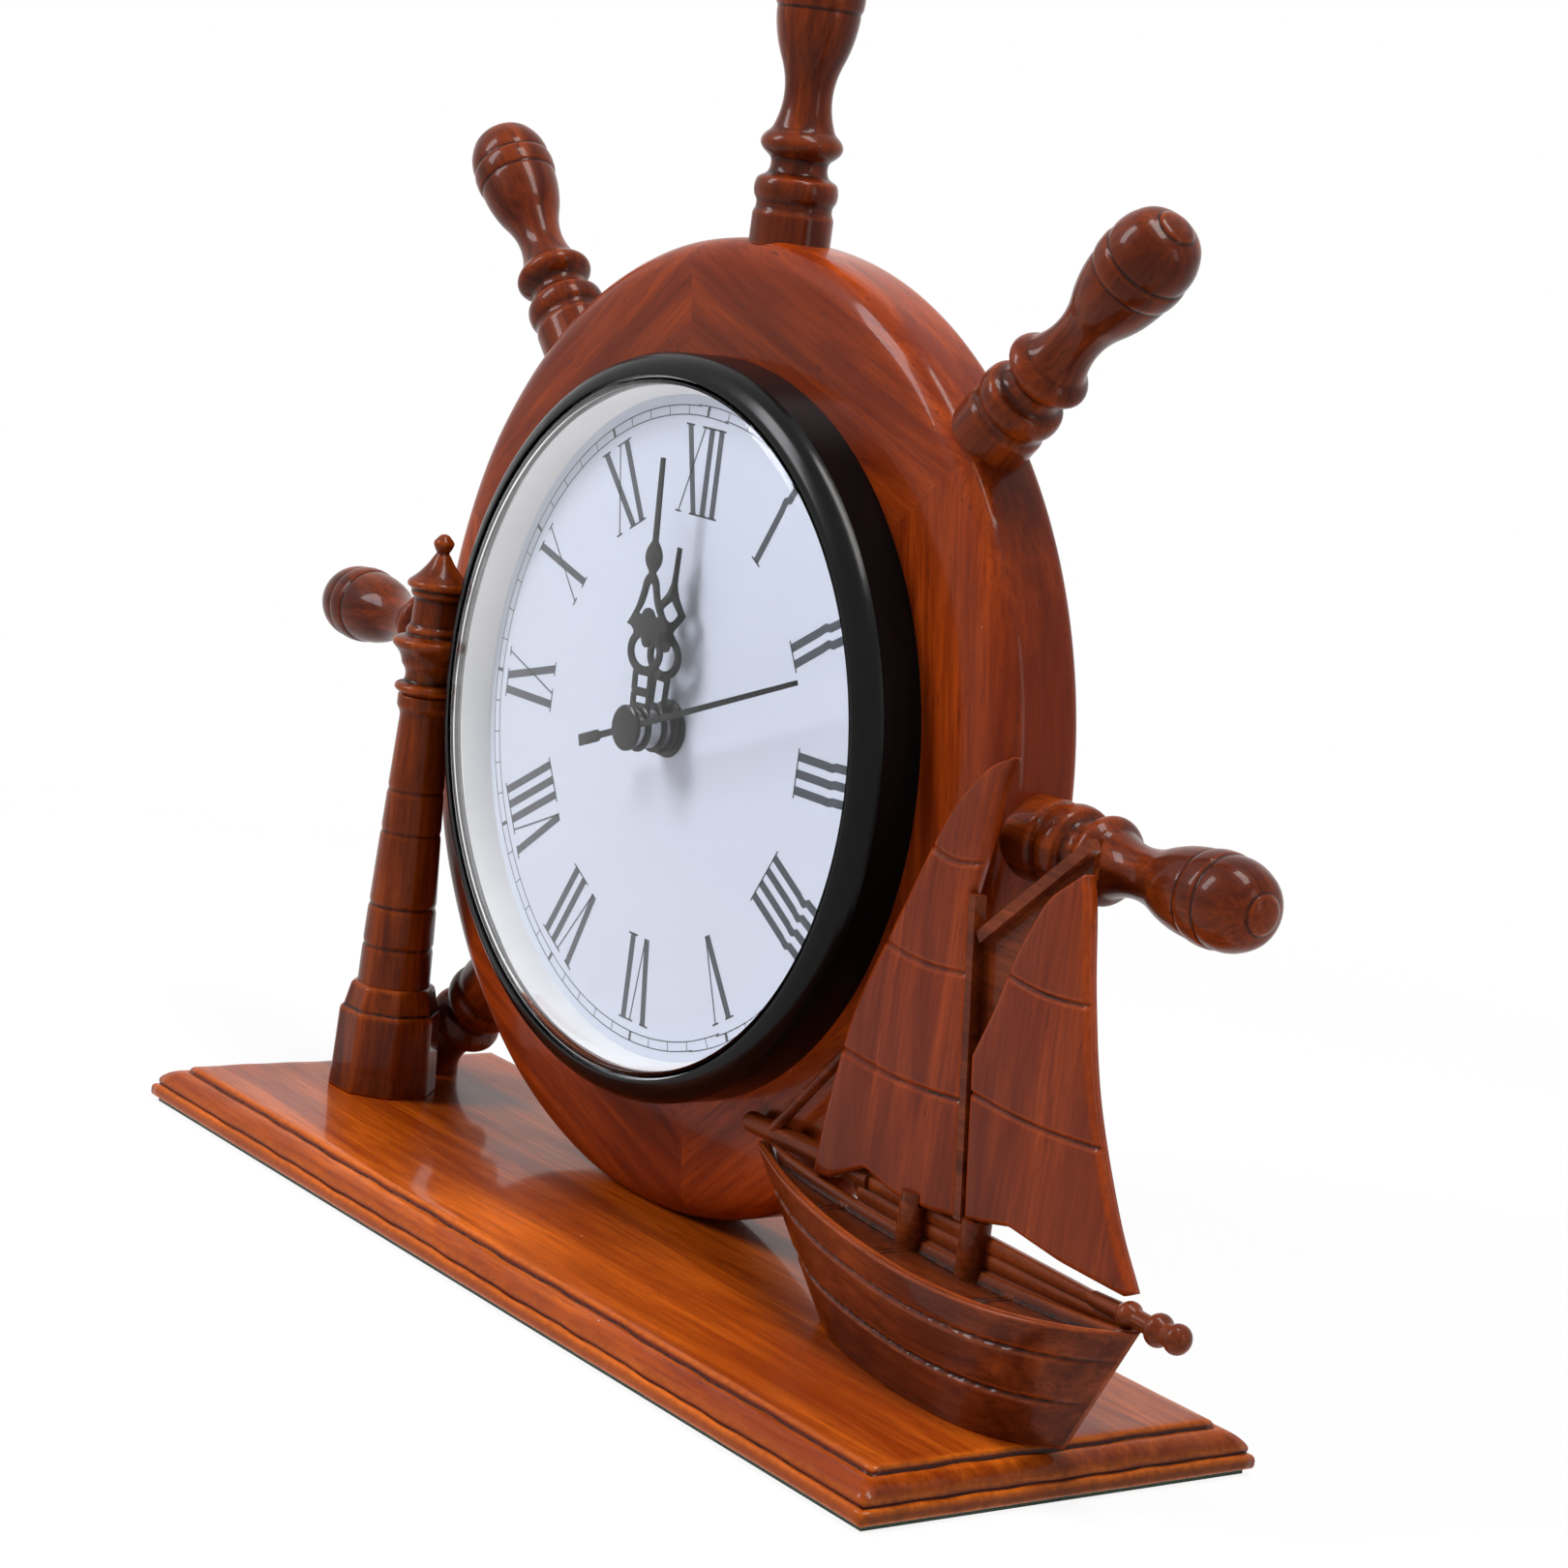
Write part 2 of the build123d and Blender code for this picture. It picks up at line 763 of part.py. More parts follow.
def boat_back_panel():
    """Flat panel glued behind the sails, which closes the gap between them"""
    back = boat_plane + sail_thickness / 2
    low = mast_foot_z + panel_low_share * fore_sail_height
    side = mast_foot_z + panel_side_share * fore_sail_height
    rows = [(mast_x(low) - mast_width, low), (mast_x(low) + panel_foot_width, low), (gaff_head_x, side),
            (gaff_head_x, gaff_head_z), (mast_x(gaff_foot_z), gaff_foot_z)]
    return upright(rows, back, panel_thickness)


def boat_gaff():
    """Square spar from the mast to the fore sail's head, glued on the panel's front"""
    foot = (mast_x(gaff_foot_z) + mast_width / 2, gaff_foot_z)
    way = Vector(gaff_head_x - foot[0], gaff_head_z - foot[1])
    across = Vector(way.Y, -way.X).normalized() * gaff_width
    rows = [foot, (gaff_head_x, gaff_head_z), (gaff_head_x + across.X, gaff_head_z + across.Y),
            (foot[0] + across.X, foot[1] + across.Y)]
    back = boat_plane + sail_thickness / 2
    return upright(rows, back - gaff_thickness, gaff_thickness)


def boat_boom(fixed):
    """Round boom with a domed end, which lies on the stern behind the aft sail and sticks out past it"""
    height = plinth_top + sheer_stern + boom_radius / 2
    rows = [(0, boom_length), (boom_radius, boom_length), (boom_radius, boom_radius), (0, 0, 1)]
    rows = [(radius, -along, *rest) for radius, along, *rest in rows]
    way = Location((boom_tip_x, boat_plane + boom_radius, height), (0, -90, 0))
    shape = way * turned(rows)
    for piece in fixed:
        shape -= piece
    return shape.solids().sort_by(SortBy.VOLUME)[-1]


def boat_aft_spar(fixed):
    """Thin round spar from the boom up to the aft sail's edge"""
    depth = boat_plane + boom_radius / 2
    low = (mast_foot_x - aft_spar_low_share * aft_sail_width, depth, plinth_top + sheer_stern + boom_radius)
    high = (mast_foot_x - aft_spar_high_share * aft_sail_width, depth,
            mast_foot_z + aft_spar_rise_share * aft_sail_height)
    shape = bar_between(low, high, aft_spar_radius)
    for piece in fixed:
        shape -= piece
    return shape.solids().sort_by(SortBy.VOLUME)[-1]


BOWSPRIT_SHARES = (
    (0.0, 0.55),
    (0.30, 0.62),
    (0.34, 0.80),
    (0.44, 0.80, 0.2),
    (0.47, 0.66),
    (0.62, 0.62),
    (0.65, 0.92),
    (0.76, 0.92, 0.2),
    (0.79, 0.74),
    (0.84, 0.74),
    (0.87, 0.96),
    (0.95, 0.88, 0.12),
    (1.0, 0.0, 1),
)


def boat_bowsprit(hull):
    """Turned, banded pin that lies on the bow and points forward"""
    rows = [(0, 0)] + scaled_rows(BOWSPRIT_SHARES, bowsprit_radius, bowsprit_length)
    start = (bowsprit_tip_x - bowsprit_length, boat_plane, plinth_top + sheer_bow + bowsprit_radius / 2)
    return Location(start, (0, 90, 0)) * turned(rows) - hull


def boat_rail(fixed):
    """Square rail behind the sails, from the fore post to the bowsprit"""
    length = rail_end_x - fore_post_x
    place = (fore_post_x + length / 2, boat_plane + rail_width, plinth_top + sheer_bow + bowsprit_radius / 2)
    shape = Pos(*place) * Box(length, rail_width, rail_width)
    for piece in fixed:
        shape -= piece
    return shape.solids().sort_by(SortBy.VOLUME)[-1]


# Clock insert, in its own frame: X to the right, Y up the dial, Z towards the viewer

def bezel_ring():
    """Black ring with a rounded front shoulder, a lip over the lens and a snap bead behind the cup"""
    inner = bezel_radius - bezel_wall
    lip_back = bezel_height - bezel_lip
    return turned([
        (inner - bezel_snap, 0),
        (bezel_radius, 0),
        (bezel_radius, bezel_height - bezel_shoulder),
        (bezel_lip_radius + bezel_snap, bezel_height, bezel_shoulder_share),
        (bezel_lip_radius, bezel_height),
        (bezel_lip_radius, lip_back),
        (inner, lip_back),
        (inner, bezel_snap_height),
        (inner - bezel_snap, bezel_snap_height),
    ])


def lens():
    """Clear lens: a flange behind the bezel's lip, a tight shoulder and a shallow dome"""
    flange_top = bezel_height - bezel_lip
    flange_bottom = flange_top - lens_flange
    outer = bezel_lip_radius - loose_clearance
    bore = outer - lens_wall
    dome_edge = lens_apex - lens_shoulder * lens_dome_share
    inner_shoulder = lens_shoulder - lens_wall / 2
    return turned([
        (bore, flange_bottom),
        (bezel_radius - bezel_wall - loose_clearance, flange_bottom),
        (bezel_radius - bezel_wall - loose_clearance, flange_top),
        (outer, flange_top),
        (outer, dome_edge - lens_shoulder),
        (outer - lens_shoulder, dome_edge, lens_shoulder_share),
        (0, lens_apex, 1),
        (0, lens_apex - lens_wall),
        (bore - inner_shoulder, dome_edge - lens_wall, 1),
        (bore, dome_edge - lens_wall - inner_shoulder, -lens_shoulder_share),
    ])


def inner_ring():
    """Pale sloping ring between the dial's edge and the lens"""
    top = bezel_height - bezel_lip - lens_flange
    outer = bezel_radius - bezel_wall - loose_clearance
    bore = bezel_lip_radius - loose_clearance - lens_wall
    return turned([
        (inner_ring_radius, dial_height),
        (outer, dial_height),
        (outer, top),
        (bore, top),
    ])


def dial_plate():
    """Flat round dial with the hole for the bush"""
    outer = bezel_radius - bezel_wall - loose_clearance
    return tube(outer, bush_radius + loose_clearance, dial_back, dial_height)


def insert_cup():
    """Black cup behind the dial: a flange that the bezel snaps over, a wall and a floor with a window"""
    cup = rod(cup_radius, -cup_depth, dial_back) + rod(cup_flange_radius, bezel_snap_height, dial_back)
    cup -= rod(cup_radius - cup_wall, cup_floor - cup_depth, dial_back + overrun)
    window = case_width + 2 * cup_window_margin
    return cup - slab(window, window, -cup_depth - overrun, dial_back)


def rubber_band():
    """Band round the cup that grips the bore in the wood"""
    return tube(insert_bore_radius - press_clearance, cup_radius, -band_setback - band_width, -band_setback)


def dial_washer():
    """Thin washer on the dial"""
    return tube(washer_radius, bush_radius + running_clearance, dial_height, dial_height + washer_thickness)


def dial_nut():
    """Hexagon nut on the bush"""
    blank = extrude(RegularPolygon(nut_width / 2, nut_sides, major_radius=False), nut_thickness)
    bore = rod(bush_radius + running_clearance, -overrun, nut_thickness + overrun)
    return Pos(0, 0, dial_height + washer_thickness) * (blank - bore)


def rubber_washer():
    """Soft washer between the dial and the movement"""
    return tube(rubber_washer_radius, bush_radius + running_clearance, case_front, dial_back)


# Hands, pointing up before each is turned to its time

def ring_face(half_width, half_height, wall, height):
    """Flat oval ring centred up the hand"""
    ring = Ellipse(half_width, half_height) - Ellipse(half_width - wall, half_height - wall)
    return Pos(0, height) * ring


def blade(low, high, low_width, high_width):
    """Flat tapered stretch of a hand"""
    return make_face(Polyline([(-low_width / 2, low), (low_width / 2, low), (high_width / 2, high),
                               (-high_width / 2, high)], close=True))


def bell(low, high, low_width, high_width):
    """Flat open stretch with an even border, wide at one end"""
    wall = hand_border
    slope = (high_width - low_width) / (high - low)
    border = 2 * wall * hypot(1, slope / 2)
    inner_low = max(low_width + slope * wall - border, wall / 2)
    inner_high = max(high_width - slope * wall - border, wall / 2)
    return blade(low, high, low_width, high_width) - blade(low + wall, high - wall, inner_low, inner_high)


def hand_face(length, shares):
    """Outline of a hand, built up from its named stretches, in shares of its length"""
    faces = Sketch()
    for low, high, low_width, high_width in shares["blades"]:
        faces += blade(low * length, high * length, low_width * length, high_width * length)
    for middle, half_width, half_height in shares["ovals"]:
        faces += Pos(0, middle * length) * Ellipse(half_width * length, half_height * length)
    for middle, half_width, half_height in shares["rings"]:
        faces -= Pos(0, middle * length) * Ellipse(half_width * length, half_height * length)
        faces += ring_face(half_width * length, half_height * length, hand_border, middle * length)
    for low, high, low_width, high_width in shares["bells"]:
        faces += bell(low * length, high * length, low_width * length, high_width * length)
    return faces


def finished_hand(face, height, turn, hub_radius, bore):
    """Thin hand with a hub and a collet behind it, bored for its pipe and turned clockwise"""
    hand = extrude(face + Circle(hub_radius), hand_thickness)
    hand = Pos(0, 0, height - hand_thickness) * hand
    hub_top = height + (hand_hub_thickness - hand_thickness) / 2
    hand += rod(hub_radius, hub_top - hand_hub_thickness, hub_top)
    back = hub_top - hand_hub_thickness - hand_collet_length
    hand += rod(hand_collet_radius, back, hub_top)
    hand -= rod(bore + press_clearance, back - overrun, height + overrun)
    return Rot(0, 0, -turn) * hand


HOUR_HAND_SHARES = {
    "blades": ((0.0, 0.31, 0.10, 0.06), (0.72, 1.0, 0.045, 0.02)),
    "ovals": (),
    "rings": ((0.40, 0.125, 0.12),),
    "bells": ((0.50, 0.61, 0.06, 0.27), (0.60, 0.77, 0.27, 0.06)),
}
MINUTE_HAND_SHARES = {
    "blades": ((0.0, 0.26, 0.07, 0.04), (0.54, 1.0, 0.030, 0.014)),
    "ovals": ((0.61, 0.036, 0.05),),
    "rings": ((0.34, 0.075, 0.10),),
    "bells": ((0.43, 0.57, 0.15, 0.045),),
}


def hour_hand():
    """Open ring, open diamond and a pointer"""
    face = hand_face(hour_hand_length, HOUR_HAND_SHARES)
    return finished_hand(face, hour_hand_height, hour_hand_turn, hand_hub_radius, hour_pipe_radius)


def minute_hand():
    """Stem, open ring, open bell, oval and a long pointer"""
    face = hand_face(minute_hand_length, MINUTE_HAND_SHARES)
    return finished_hand(face, minute_hand_height, minute_hand_turn, hand_hub_radius, minute_pipe_radius)


def second_hand():
    """Thin straight hand with a flat tail under a round cap"""
    face = blade(0, second_hand_length, second_hand_width, second_hand_width)
    face += blade(-second_tail_length, 0, second_tail_width, second_hand_width)
    hand = Pos(0, 0, second_hand_height - hand_thickness) * extrude(face, hand_thickness)
    cap_bottom = second_hand_height - hand_thickness
    hand += rod(second_cap_radius, cap_bottom, cap_bottom + second_cap_thickness)
    hand -= rod(second_arbor_radius + press_clearance, cap_bottom - overrun, cap_bottom + hand_thickness)
    return Rot(0, 0, -second_hand_turn) * hand


# Movement, in the insert's frame; depths are counted back from the inner face of the case's front

def at_depth(depth):
    """Height of a depth behind the case's front"""
    return case_inside - depth


def pivot_hole(front_depth, back_depth, place):
    """Cutter for a bearing hole between two depths"""
    return deep_rod(pivot_radius + running_clearance, front_depth, back_depth, place)


def deep_rod(radius, front_depth, back_depth, place=(0, 0)):
    """Round bar between two depths"""
    return rod(radius, at_depth(back_depth), at_depth(front_depth), place)


def gear(teeth, module, front_depth, back_depth, place, phase):
    """Spur gear with straight-sided teeth; one tooth points at the phase angle"""
    pitch_radius = teeth * module / 2
    tip_radius = pitch_radius + tooth_rise_share * module
    root_radius = pitch_radius - tooth_fall_share * module
    pitch_angle = 360 / teeth
    corners = []
    for tooth in range(teeth):
        middle = phase + tooth * pitch_angle
        for radius, width_share in ((root_radius, -tooth_root_share), (tip_radius, -tooth_tip_share),
                                    (tip_radius, tooth_tip_share), (root_radius, tooth_root_share)):
            corners.append(polar(radius, middle + width_share * pitch_angle / 2))
    face = make_face(Polyline(corners, close=True))
    return Pos(place[0], place[1], at_depth(back_depth)) * extrude(face, back_depth - front_depth)


def meshed_phase(phase, teeth, direction, other_teeth):
    """Phase of a gear that lies in a direction from another one and meshes with it"""
    passed = ((direction - phase) * teeth / 360) % 1
    return direction + 180 + (passed + 1 / 2) * 360 / other_teeth


def module_of(distance, teeth, other_teeth):
    """Tooth size that makes two gears meet at a distance"""
    return 2 * distance / (teeth + other_teeth)


train_module = module_of(train_distance, second_pinion_teeth, third_wheel_teeth)
centre_module = module_of(train_distance, third_pinion_teeth, centre_wheel_teeth)
motion_module = module_of(motion_distance, centre_pinion_teeth, minute_wheel_teeth)
hour_module = module_of(motion_distance, minute_pinion_teeth, hour_wheel_teeth)
idler_module = module_of(idler_distance, idler_pinion_teeth, second_wheel_teeth)
rotor_module = module_of(rotor_distance, rotor_pinion_teeth, idler_wheel_teeth)
minute_phase = meshed_phase(motion_angle, centre_pinion_teeth, motion_angle, minute_wheel_teeth)
third_pinion_phase = meshed_phase(train_angle, centre_wheel_teeth, train_angle, third_pinion_teeth)
third_wheel_phase = meshed_phase(train_angle, second_pinion_teeth, train_angle, third_wheel_teeth)
minute_pinion_phase = meshed_phase(motion_angle, hour_wheel_teeth, motion_angle, minute_pinion_teeth)
knob_phase = meshed_phase(minute_phase, minute_wheel_teeth, motion_angle, knob_pinion_teeth)
idler_pinion_phase = meshed_phase(idler_angle, second_wheel_teeth, idler_angle, idler_pinion_teeth)
rotor_phase = meshed_phase(rotor_angle, idler_wheel_teeth, rotor_angle, rotor_pinion_teeth)


def hour_wheel():
    """Hour wheel with its pipe, which runs inside the bush and carries the hour hand"""
    back = hour_level + gear_thickness
    wheel = gear(hour_wheel_teeth, hour_module, hour_level, back, (0, 0), motion_angle)
    wheel += rod(hour_pipe_radius, at_depth(hour_level), hour_hand_height + loose_clearance)
    return wheel - rod(minute_pipe_radius + running_clearance, at_depth(back) - overrun,
                       hour_hand_height + overrun)


def minute_wheel():
    """Minute wheel with its pinion, on a post of the case"""
    back = minute_level + gear_thickness
    wheel = gear(minute_wheel_teeth, motion_module, minute_level, back, motion_place, minute_phase)
    wheel += gear(minute_pinion_teeth, hour_module, hour_level, minute_level, motion_place,
                  minute_pinion_phase)
    return wheel - pivot_hole(hour_level - overrun, back + overrun, motion_place)


def centre_wheel():
    """Centre wheel with its pinion and the pipe that carries the minute hand"""
    back = centre_level + gear_thickness
    pinion_front = minute_level - loose_clearance
    wheel = gear(centre_wheel_teeth, centre_module, centre_level, back, (0, 0), train_angle)
    wheel += gear(centre_pinion_teeth, motion_module, pinion_front, centre_level, (0, 0), motion_angle)
    wheel += rod(minute_pipe_radius, at_depth(pinion_front), minute_hand_height + loose_clearance)
    return wheel - rod(second_arbor_radius + running_clearance, at_depth(back) - overrun,
                       minute_hand_height + overrun)


def third_wheel():
    """Third wheel with its pinion, between a boss of the case and the train plate"""
    back = third_level + gear_thickness
    pinion_front = centre_level - loose_clearance
    wheel = gear(third_wheel_teeth, train_module, third_level, back, third_place, third_wheel_phase)
    wheel += gear(third_pinion_teeth, centre_module, pinion_front, third_level, third_place,
                  third_pinion_phase)
    wheel += deep_rod(pivot_radius, hour_level, plate_level + train_plate_thickness, third_place)
    return wheel + deep_rod(arbor_radius, pinion_front, plate_level - loose_clearance, third_place)


def seconds_wheel():
    """Seconds wheel with its pinion and the long arbor that carries the second hand"""
    back = second_level + gear_thickness
    wheel = gear(second_wheel_teeth, idler_module, second_level, back, (0, 0), idler_angle)
    wheel += gear(second_pinion_teeth, train_module, third_level - loose_clearance,
                  third_level + gear_thickness + loose_clearance, (0, 0), train_angle)
    arbor_top = second_hand_height - loose_clearance
    return wheel + rod(second_arbor_radius, at_depth(chamber_depth - air_gap), arbor_top)


def intermediate_wheel():
    """Intermediate wheel with its pinion, between the train plate and the cover"""
    back = idler_level + gear_thickness
    wheel = gear(idler_wheel_teeth, rotor_module, idler_level, back, idler_place, rotor_angle)
    wheel += gear(idler_pinion_teeth, idler_module, second_level - loose_clearance / 2, idler_level,
                  idler_place, idler_pinion_phase)
    return wheel + deep_rod(pivot_radius, plate_level + loose_clearance, back + pivot_length, idler_place)


def rotor():
    """Round magnet with its pinion and pivots"""
    shape = gear(rotor_pinion_teeth, rotor_module, idler_level - loose_clearance, rotor_level,
                 rotor_place, rotor_phase)
    shape += deep_rod(rotor_radius, rotor_level, rotor_level + rotor_length, rotor_place)
    return shape + deep_rod(pivot_radius, plate_level + loose_clearance,
                            rotor_level + rotor_length + pivot_length / 2, rotor_place)


def set_knob():
    """Knob on the movement's back, with the arbor and pinion that turn the minute wheel"""
    pinion_front = minute_level - loose_clearance
    pinion_back = minute_level + gear_thickness + loose_clearance
    shape = gear(knob_pinion_teeth, motion_module, pinion_front, pinion_back, knob_place, knob_phase)
    shape += deep_rod(pivot_radius, -case_wall / 2, pinion_front, knob_place)
    shape += rod(knob_arbor_radius, case_back - loose_clearance, at_depth(pinion_back), knob_place)
    return shape + rod(knob_radius, case_back - loose_clearance - knob_thickness, case_back - loose_clearance,
                       knob_place)


def chamber_block(front, back, inset):
    """Rounded block of the train chamber's outline, drawn in by an inset"""
    low = bay_top + inset
    high = case_width / 2 - inset
    blank = slab(case_width - 2 * inset, high - low, back, front)
    return Pos(0, (low + high) / 2, 0) * blank


def plate_corners():
    """Places of the four posts that carry the train plate"""
    reach_x = train_plate_width / 2 - plate_post_radius
    reach_y = train_plate_height / 2 - plate_post_radius
    return [(x * reach_x, plate_centre + y * reach_y) for x in (-1, 1) for y in (-1, 1)]


def stator_places():
    """Places of the two posts that hold the stator"""
    reach = stator_width / 2 - stator_arm_width / 2
    return [(-reach, rotor_place[1]), (reach, rotor_place[1])]


def movement_front_case():
    """Square case with the battery bay, the train chamber, its posts and the threaded bush"""
    case = slab(case_width, case_width, case_back, case_front)
    case = fillet(case.edges().filter_by(Axis.Z), case_round)
    case -= chamber_block(case_inside, case_back - overrun, case_wall)
    case -= chamber_block(cover_inside, case_back - overrun, -overrun)
    bay_height = bay_top + case_width / 2 - case_wall
    bay = slab(case_width - 2 * case_wall, bay_height, case_back - overrun, case_inside)
    case -= Pos(0, bay_top - bay_height / 2, 0) * bay
    case += rod(bush_radius, case_inside, bush_top)
    case -= rod(hour_pipe_radius + running_clearance, case_inside - overrun, bush_top + overrun)
    case += deep_rod(pivot_radius, 0, minute_level + gear_thickness + loose_clearance / 2, motion_place)
    case += deep_rod(boss_radius, 0, centre_level - 2 * air_gap, third_place)
    case -= pivot_hole(hour_level - loose_clearance, centre_level, third_place)
    case -= pivot_hole(-case_wall * pivot_sink_share, 0, knob_place)
    for place in plate_corners():
        case += deep_rod(plate_post_radius, 0, plate_level, place)
    return case


def movement_rear_cover():
    """Cover of the train chamber with the bearing bosses and the posts for the stator and the board"""
    cover = chamber_block(cover_inside, case_back, 0)
    cover = fillet(cover.edges().filter_by(Axis.Z).sort_by(Axis.Y)[-2:], case_round)
    bearings = (
        ((0, 0), second_level + gear_thickness),
        (idler_place, idler_level + gear_thickness),
        (rotor_place, rotor_level + rotor_length),
    )
    for place, front in bearings:
        cover += deep_rod(boss_radius, front + air_gap, chamber_depth, place)
        cover -= pivot_hole(front, chamber_depth, place)
    for place in stator_places():
        cover += deep_rod(plate_post_radius, stator_level + stator_thickness, chamber_depth, place)
    for side in (-1, 1):
        place = (board_place()[0] + side * board_width / 3, board_place()[1] - board_height / 3)
        cover += deep_rod(boss_radius, chamber_depth - board_lift, chamber_depth, place)
    return cover - rod(knob_arbor_radius + running_clearance, case_back - overrun, cover_inside + overrun,
                       knob_place)


def train_plate():
    """Plate that carries the train's inner pivots, with two posts that hold the stator"""
    back = plate_level + train_plate_thickness
    plate = slab(train_plate_width, train_plate_height, at_depth(back), at_depth(plate_level))
    plate = Pos(0, plate_centre, 0) * plate
    for place in stator_places():
        plate += deep_rod(plate_post_radius, back, stator_level, place)
    for place in ((0, 0), third_place, idler_place, rotor_place):
        plate -= pivot_hole(plate_level - overrun, back + overrun, place)
    knob_hole = deep_rod(knob_arbor_radius + loose_clearance, plate_level - overrun, back + overrun,
                         knob_place)
    return plate - knob_hole


def coil_y():
    """Height of the coil's axis up the case"""
    return case_width / 2 - case_wall - coil_flange_radius - loose_clearance


def stator():
    """Flat iron loop: a wide lower bar round the rotor, two arms and the core inside the coil"""
    top = coil_y() + coil_core_width / 2
    bottom = rotor_place[1] - stator_height / 2
    back = stator_level + stator_thickness
    sheet = slab(stator_width, top - bottom, at_depth(back), at_depth(stator_level))
    sheet = Pos(0, (top + bottom) / 2, 0) * sheet
    window_bottom = bottom + stator_height
    window_top = top - coil_core_width
    window = slab(stator_width - 2 * stator_arm_width, window_top - window_bottom,
                  at_depth(back) - overrun, at_depth(stator_level) + overrun)
    sheet -= Pos(0, (window_top + window_bottom) / 2, 0) * window
    return sheet - deep_rod(rotor_radius + stator_gap, stator_level - overrun, back + overrun, rotor_place)


def coil():
    """Winding and its two flanges, round the stator's core"""
    middle = (0, coil_y(), at_depth(stator_level + stator_thickness / 2))
    body = Cylinder(coil_radius, coil_length)
    for side in (-1, 1):
        flange = Cylinder(coil_flange_radius, coil_flange_thickness)
        body += Pos(0, 0, side * (coil_length - coil_flange_thickness) / 2) * flange
    core = Box(stator_thickness + 2 * running_clearance, coil_core_width + 2 * running_clearance,
               coil_length + overrun)
    return Location(middle, (0, 90, 0)) * (body - core)


def board_place():
    """Middle of the circuit board up and across the case"""
    edge = case_width / 2 - case_wall - air_gap
    return (edge - board_width / 2, chamber_bottom + air_gap + board_height / 2)


def circuit_board():
    """Small board on two posts of the cover"""
    back = at_depth(chamber_depth - board_lift)
    board = slab(board_width, board_height, back, back + board_thickness)
    return Pos(board_place()[0], board_place()[1], 0) * board


def quartz_crystal():
    """Small can with the quartz crystal, lying on the board"""
    height = at_depth(chamber_depth - board_lift) + board_thickness + crystal_radius
    place = (board_place()[0], board_place()[1] + board_height / 4, height)
    return Location(place, (0, 90, 0)) * Cylinder(crystal_radius, crystal_length)


def battery_cell():
    """Round cell lying across the bay, with its button to the right"""
    total = battery_length + battery_button_length
    cell = rod(battery_radius, 0, battery_length) + rod(battery_button_radius, battery_length, total)
    return Location((-total / 2, battery_z, battery_height), (0, 90, 0)) * cell


def battery_contacts():
    """Two flat contacts on the bay's end walls, each with a stud that touches the cell"""
    total = battery_length + battery_button_length
    wall = case_width / 2 - case_wall
    contacts = []
    for side in (-1, 1):
        strip = Pos(side * (wall - contact_thickness / 2), 0, 0) * Box(contact_thickness, contact_width,
                                                                      contact_width)
        stud_length = wall - contact_thickness - total / 2
        stud = Rot(0, 90, 0) * Cylinder(battery_button_radius, stud_length)
        strip += Pos(side * (total / 2 + stud_length / 2), 0, 0) * stud
        contacts.append(Pos(0, battery_z, battery_height) * strip)
    return Compound(contacts)


os.makedirs("parts", exist_ok=True)

disc = wheel_disc()
save(plinth_board(), "plinth_board")
save(base_felt(), "base_felt")
save(base_screws(), "base_screws")
save(disc, "wheel_disc")
for hour, turn in zip(spoke_hours, spoke_turns):
    save(spoke(turn, disc), f"spoke_{hour}")

save(lighthouse_foot(), "lighthouse_foot")
save(lighthouse_tower(), "lighthouse_tower")
save(lighthouse_lantern(), "lighthouse_lantern")

hull = boat_hull()
aft_sail = sail(aft_sail_face(), AFT_GROOVE_SHARES, aft_sail_height)
fore_sail = sail(fore_sail_face(), FORE_GROOVE_SHARES, fore_sail_height)
mast = boat_mast()
aft_post = boat_post(aft_post_x, post_radius, (hull, aft_sail))
fore_post = boat_post(fore_post_x, post_radius, (hull, aft_sail, fore_sail, mast))
boom = boat_boom((hull, aft_sail))
bowsprit = boat_bowsprit(hull)
save(hull, "boat_hull")
save(aft_sail, "boat_aft_sail")
save(fore_sail, "boat_fore_sail")
save(mast, "boat_mast")
save(boat_back_panel(), "boat_back_panel")
save(boat_gaff(), "boat_gaff")
save(aft_post, "boat_aft_post")
save(fore_post, "boat_fore_post")
save(boom, "boat_boom")
save(boat_aft_spar((aft_sail, boom)), "boat_aft_spar")
save(bowsprit, "boat_bowsprit")
save(boat_rail((fore_post, bowsprit, hull)), "boat_rail")

insert_pieces = {
    "bezel_ring": bezel_ring,
    "lens": lens,
    "inner_ring": inner_ring,
    "dial_plate": dial_plate,
    "insert_cup": insert_cup,
    "rubber_band": rubber_band,
    "dial_washer": dial_washer,
    "dial_nut": dial_nut,
    "rubber_washer": rubber_washer,
    "hour_hand": hour_hand,
    "minute_hand": minute_hand,
    "second_hand": second_hand,
    "hour_wheel": hour_wheel,
    "minute_wheel": minute_wheel,
    "centre_wheel": centre_wheel,
    "third_wheel": third_wheel,
    "seconds_wheel": seconds_wheel,
    "intermediate_wheel": intermediate_wheel,
    "rotor": rotor,
    "set_knob": set_knob,
    "movement_front_case": movement_front_case,
    "movement_rear_cover": movement_rear_cover,
    "train_plate": train_plate,
    "stator": stator,
    "coil": coil,
    "circuit_board": circuit_board,
    "quartz_crystal": quartz_crystal,
    "battery_cell": battery_cell,
    "battery_contacts": battery_contacts,
}
for name, make in insert_pieces.items():
    save(insert_frame * make(), name)
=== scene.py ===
from math import atan2, cos, degrees, hypot, pi, radians, sin
import bmesh
import bpy
import numpy as np
from mathutils import Matrix, Vector


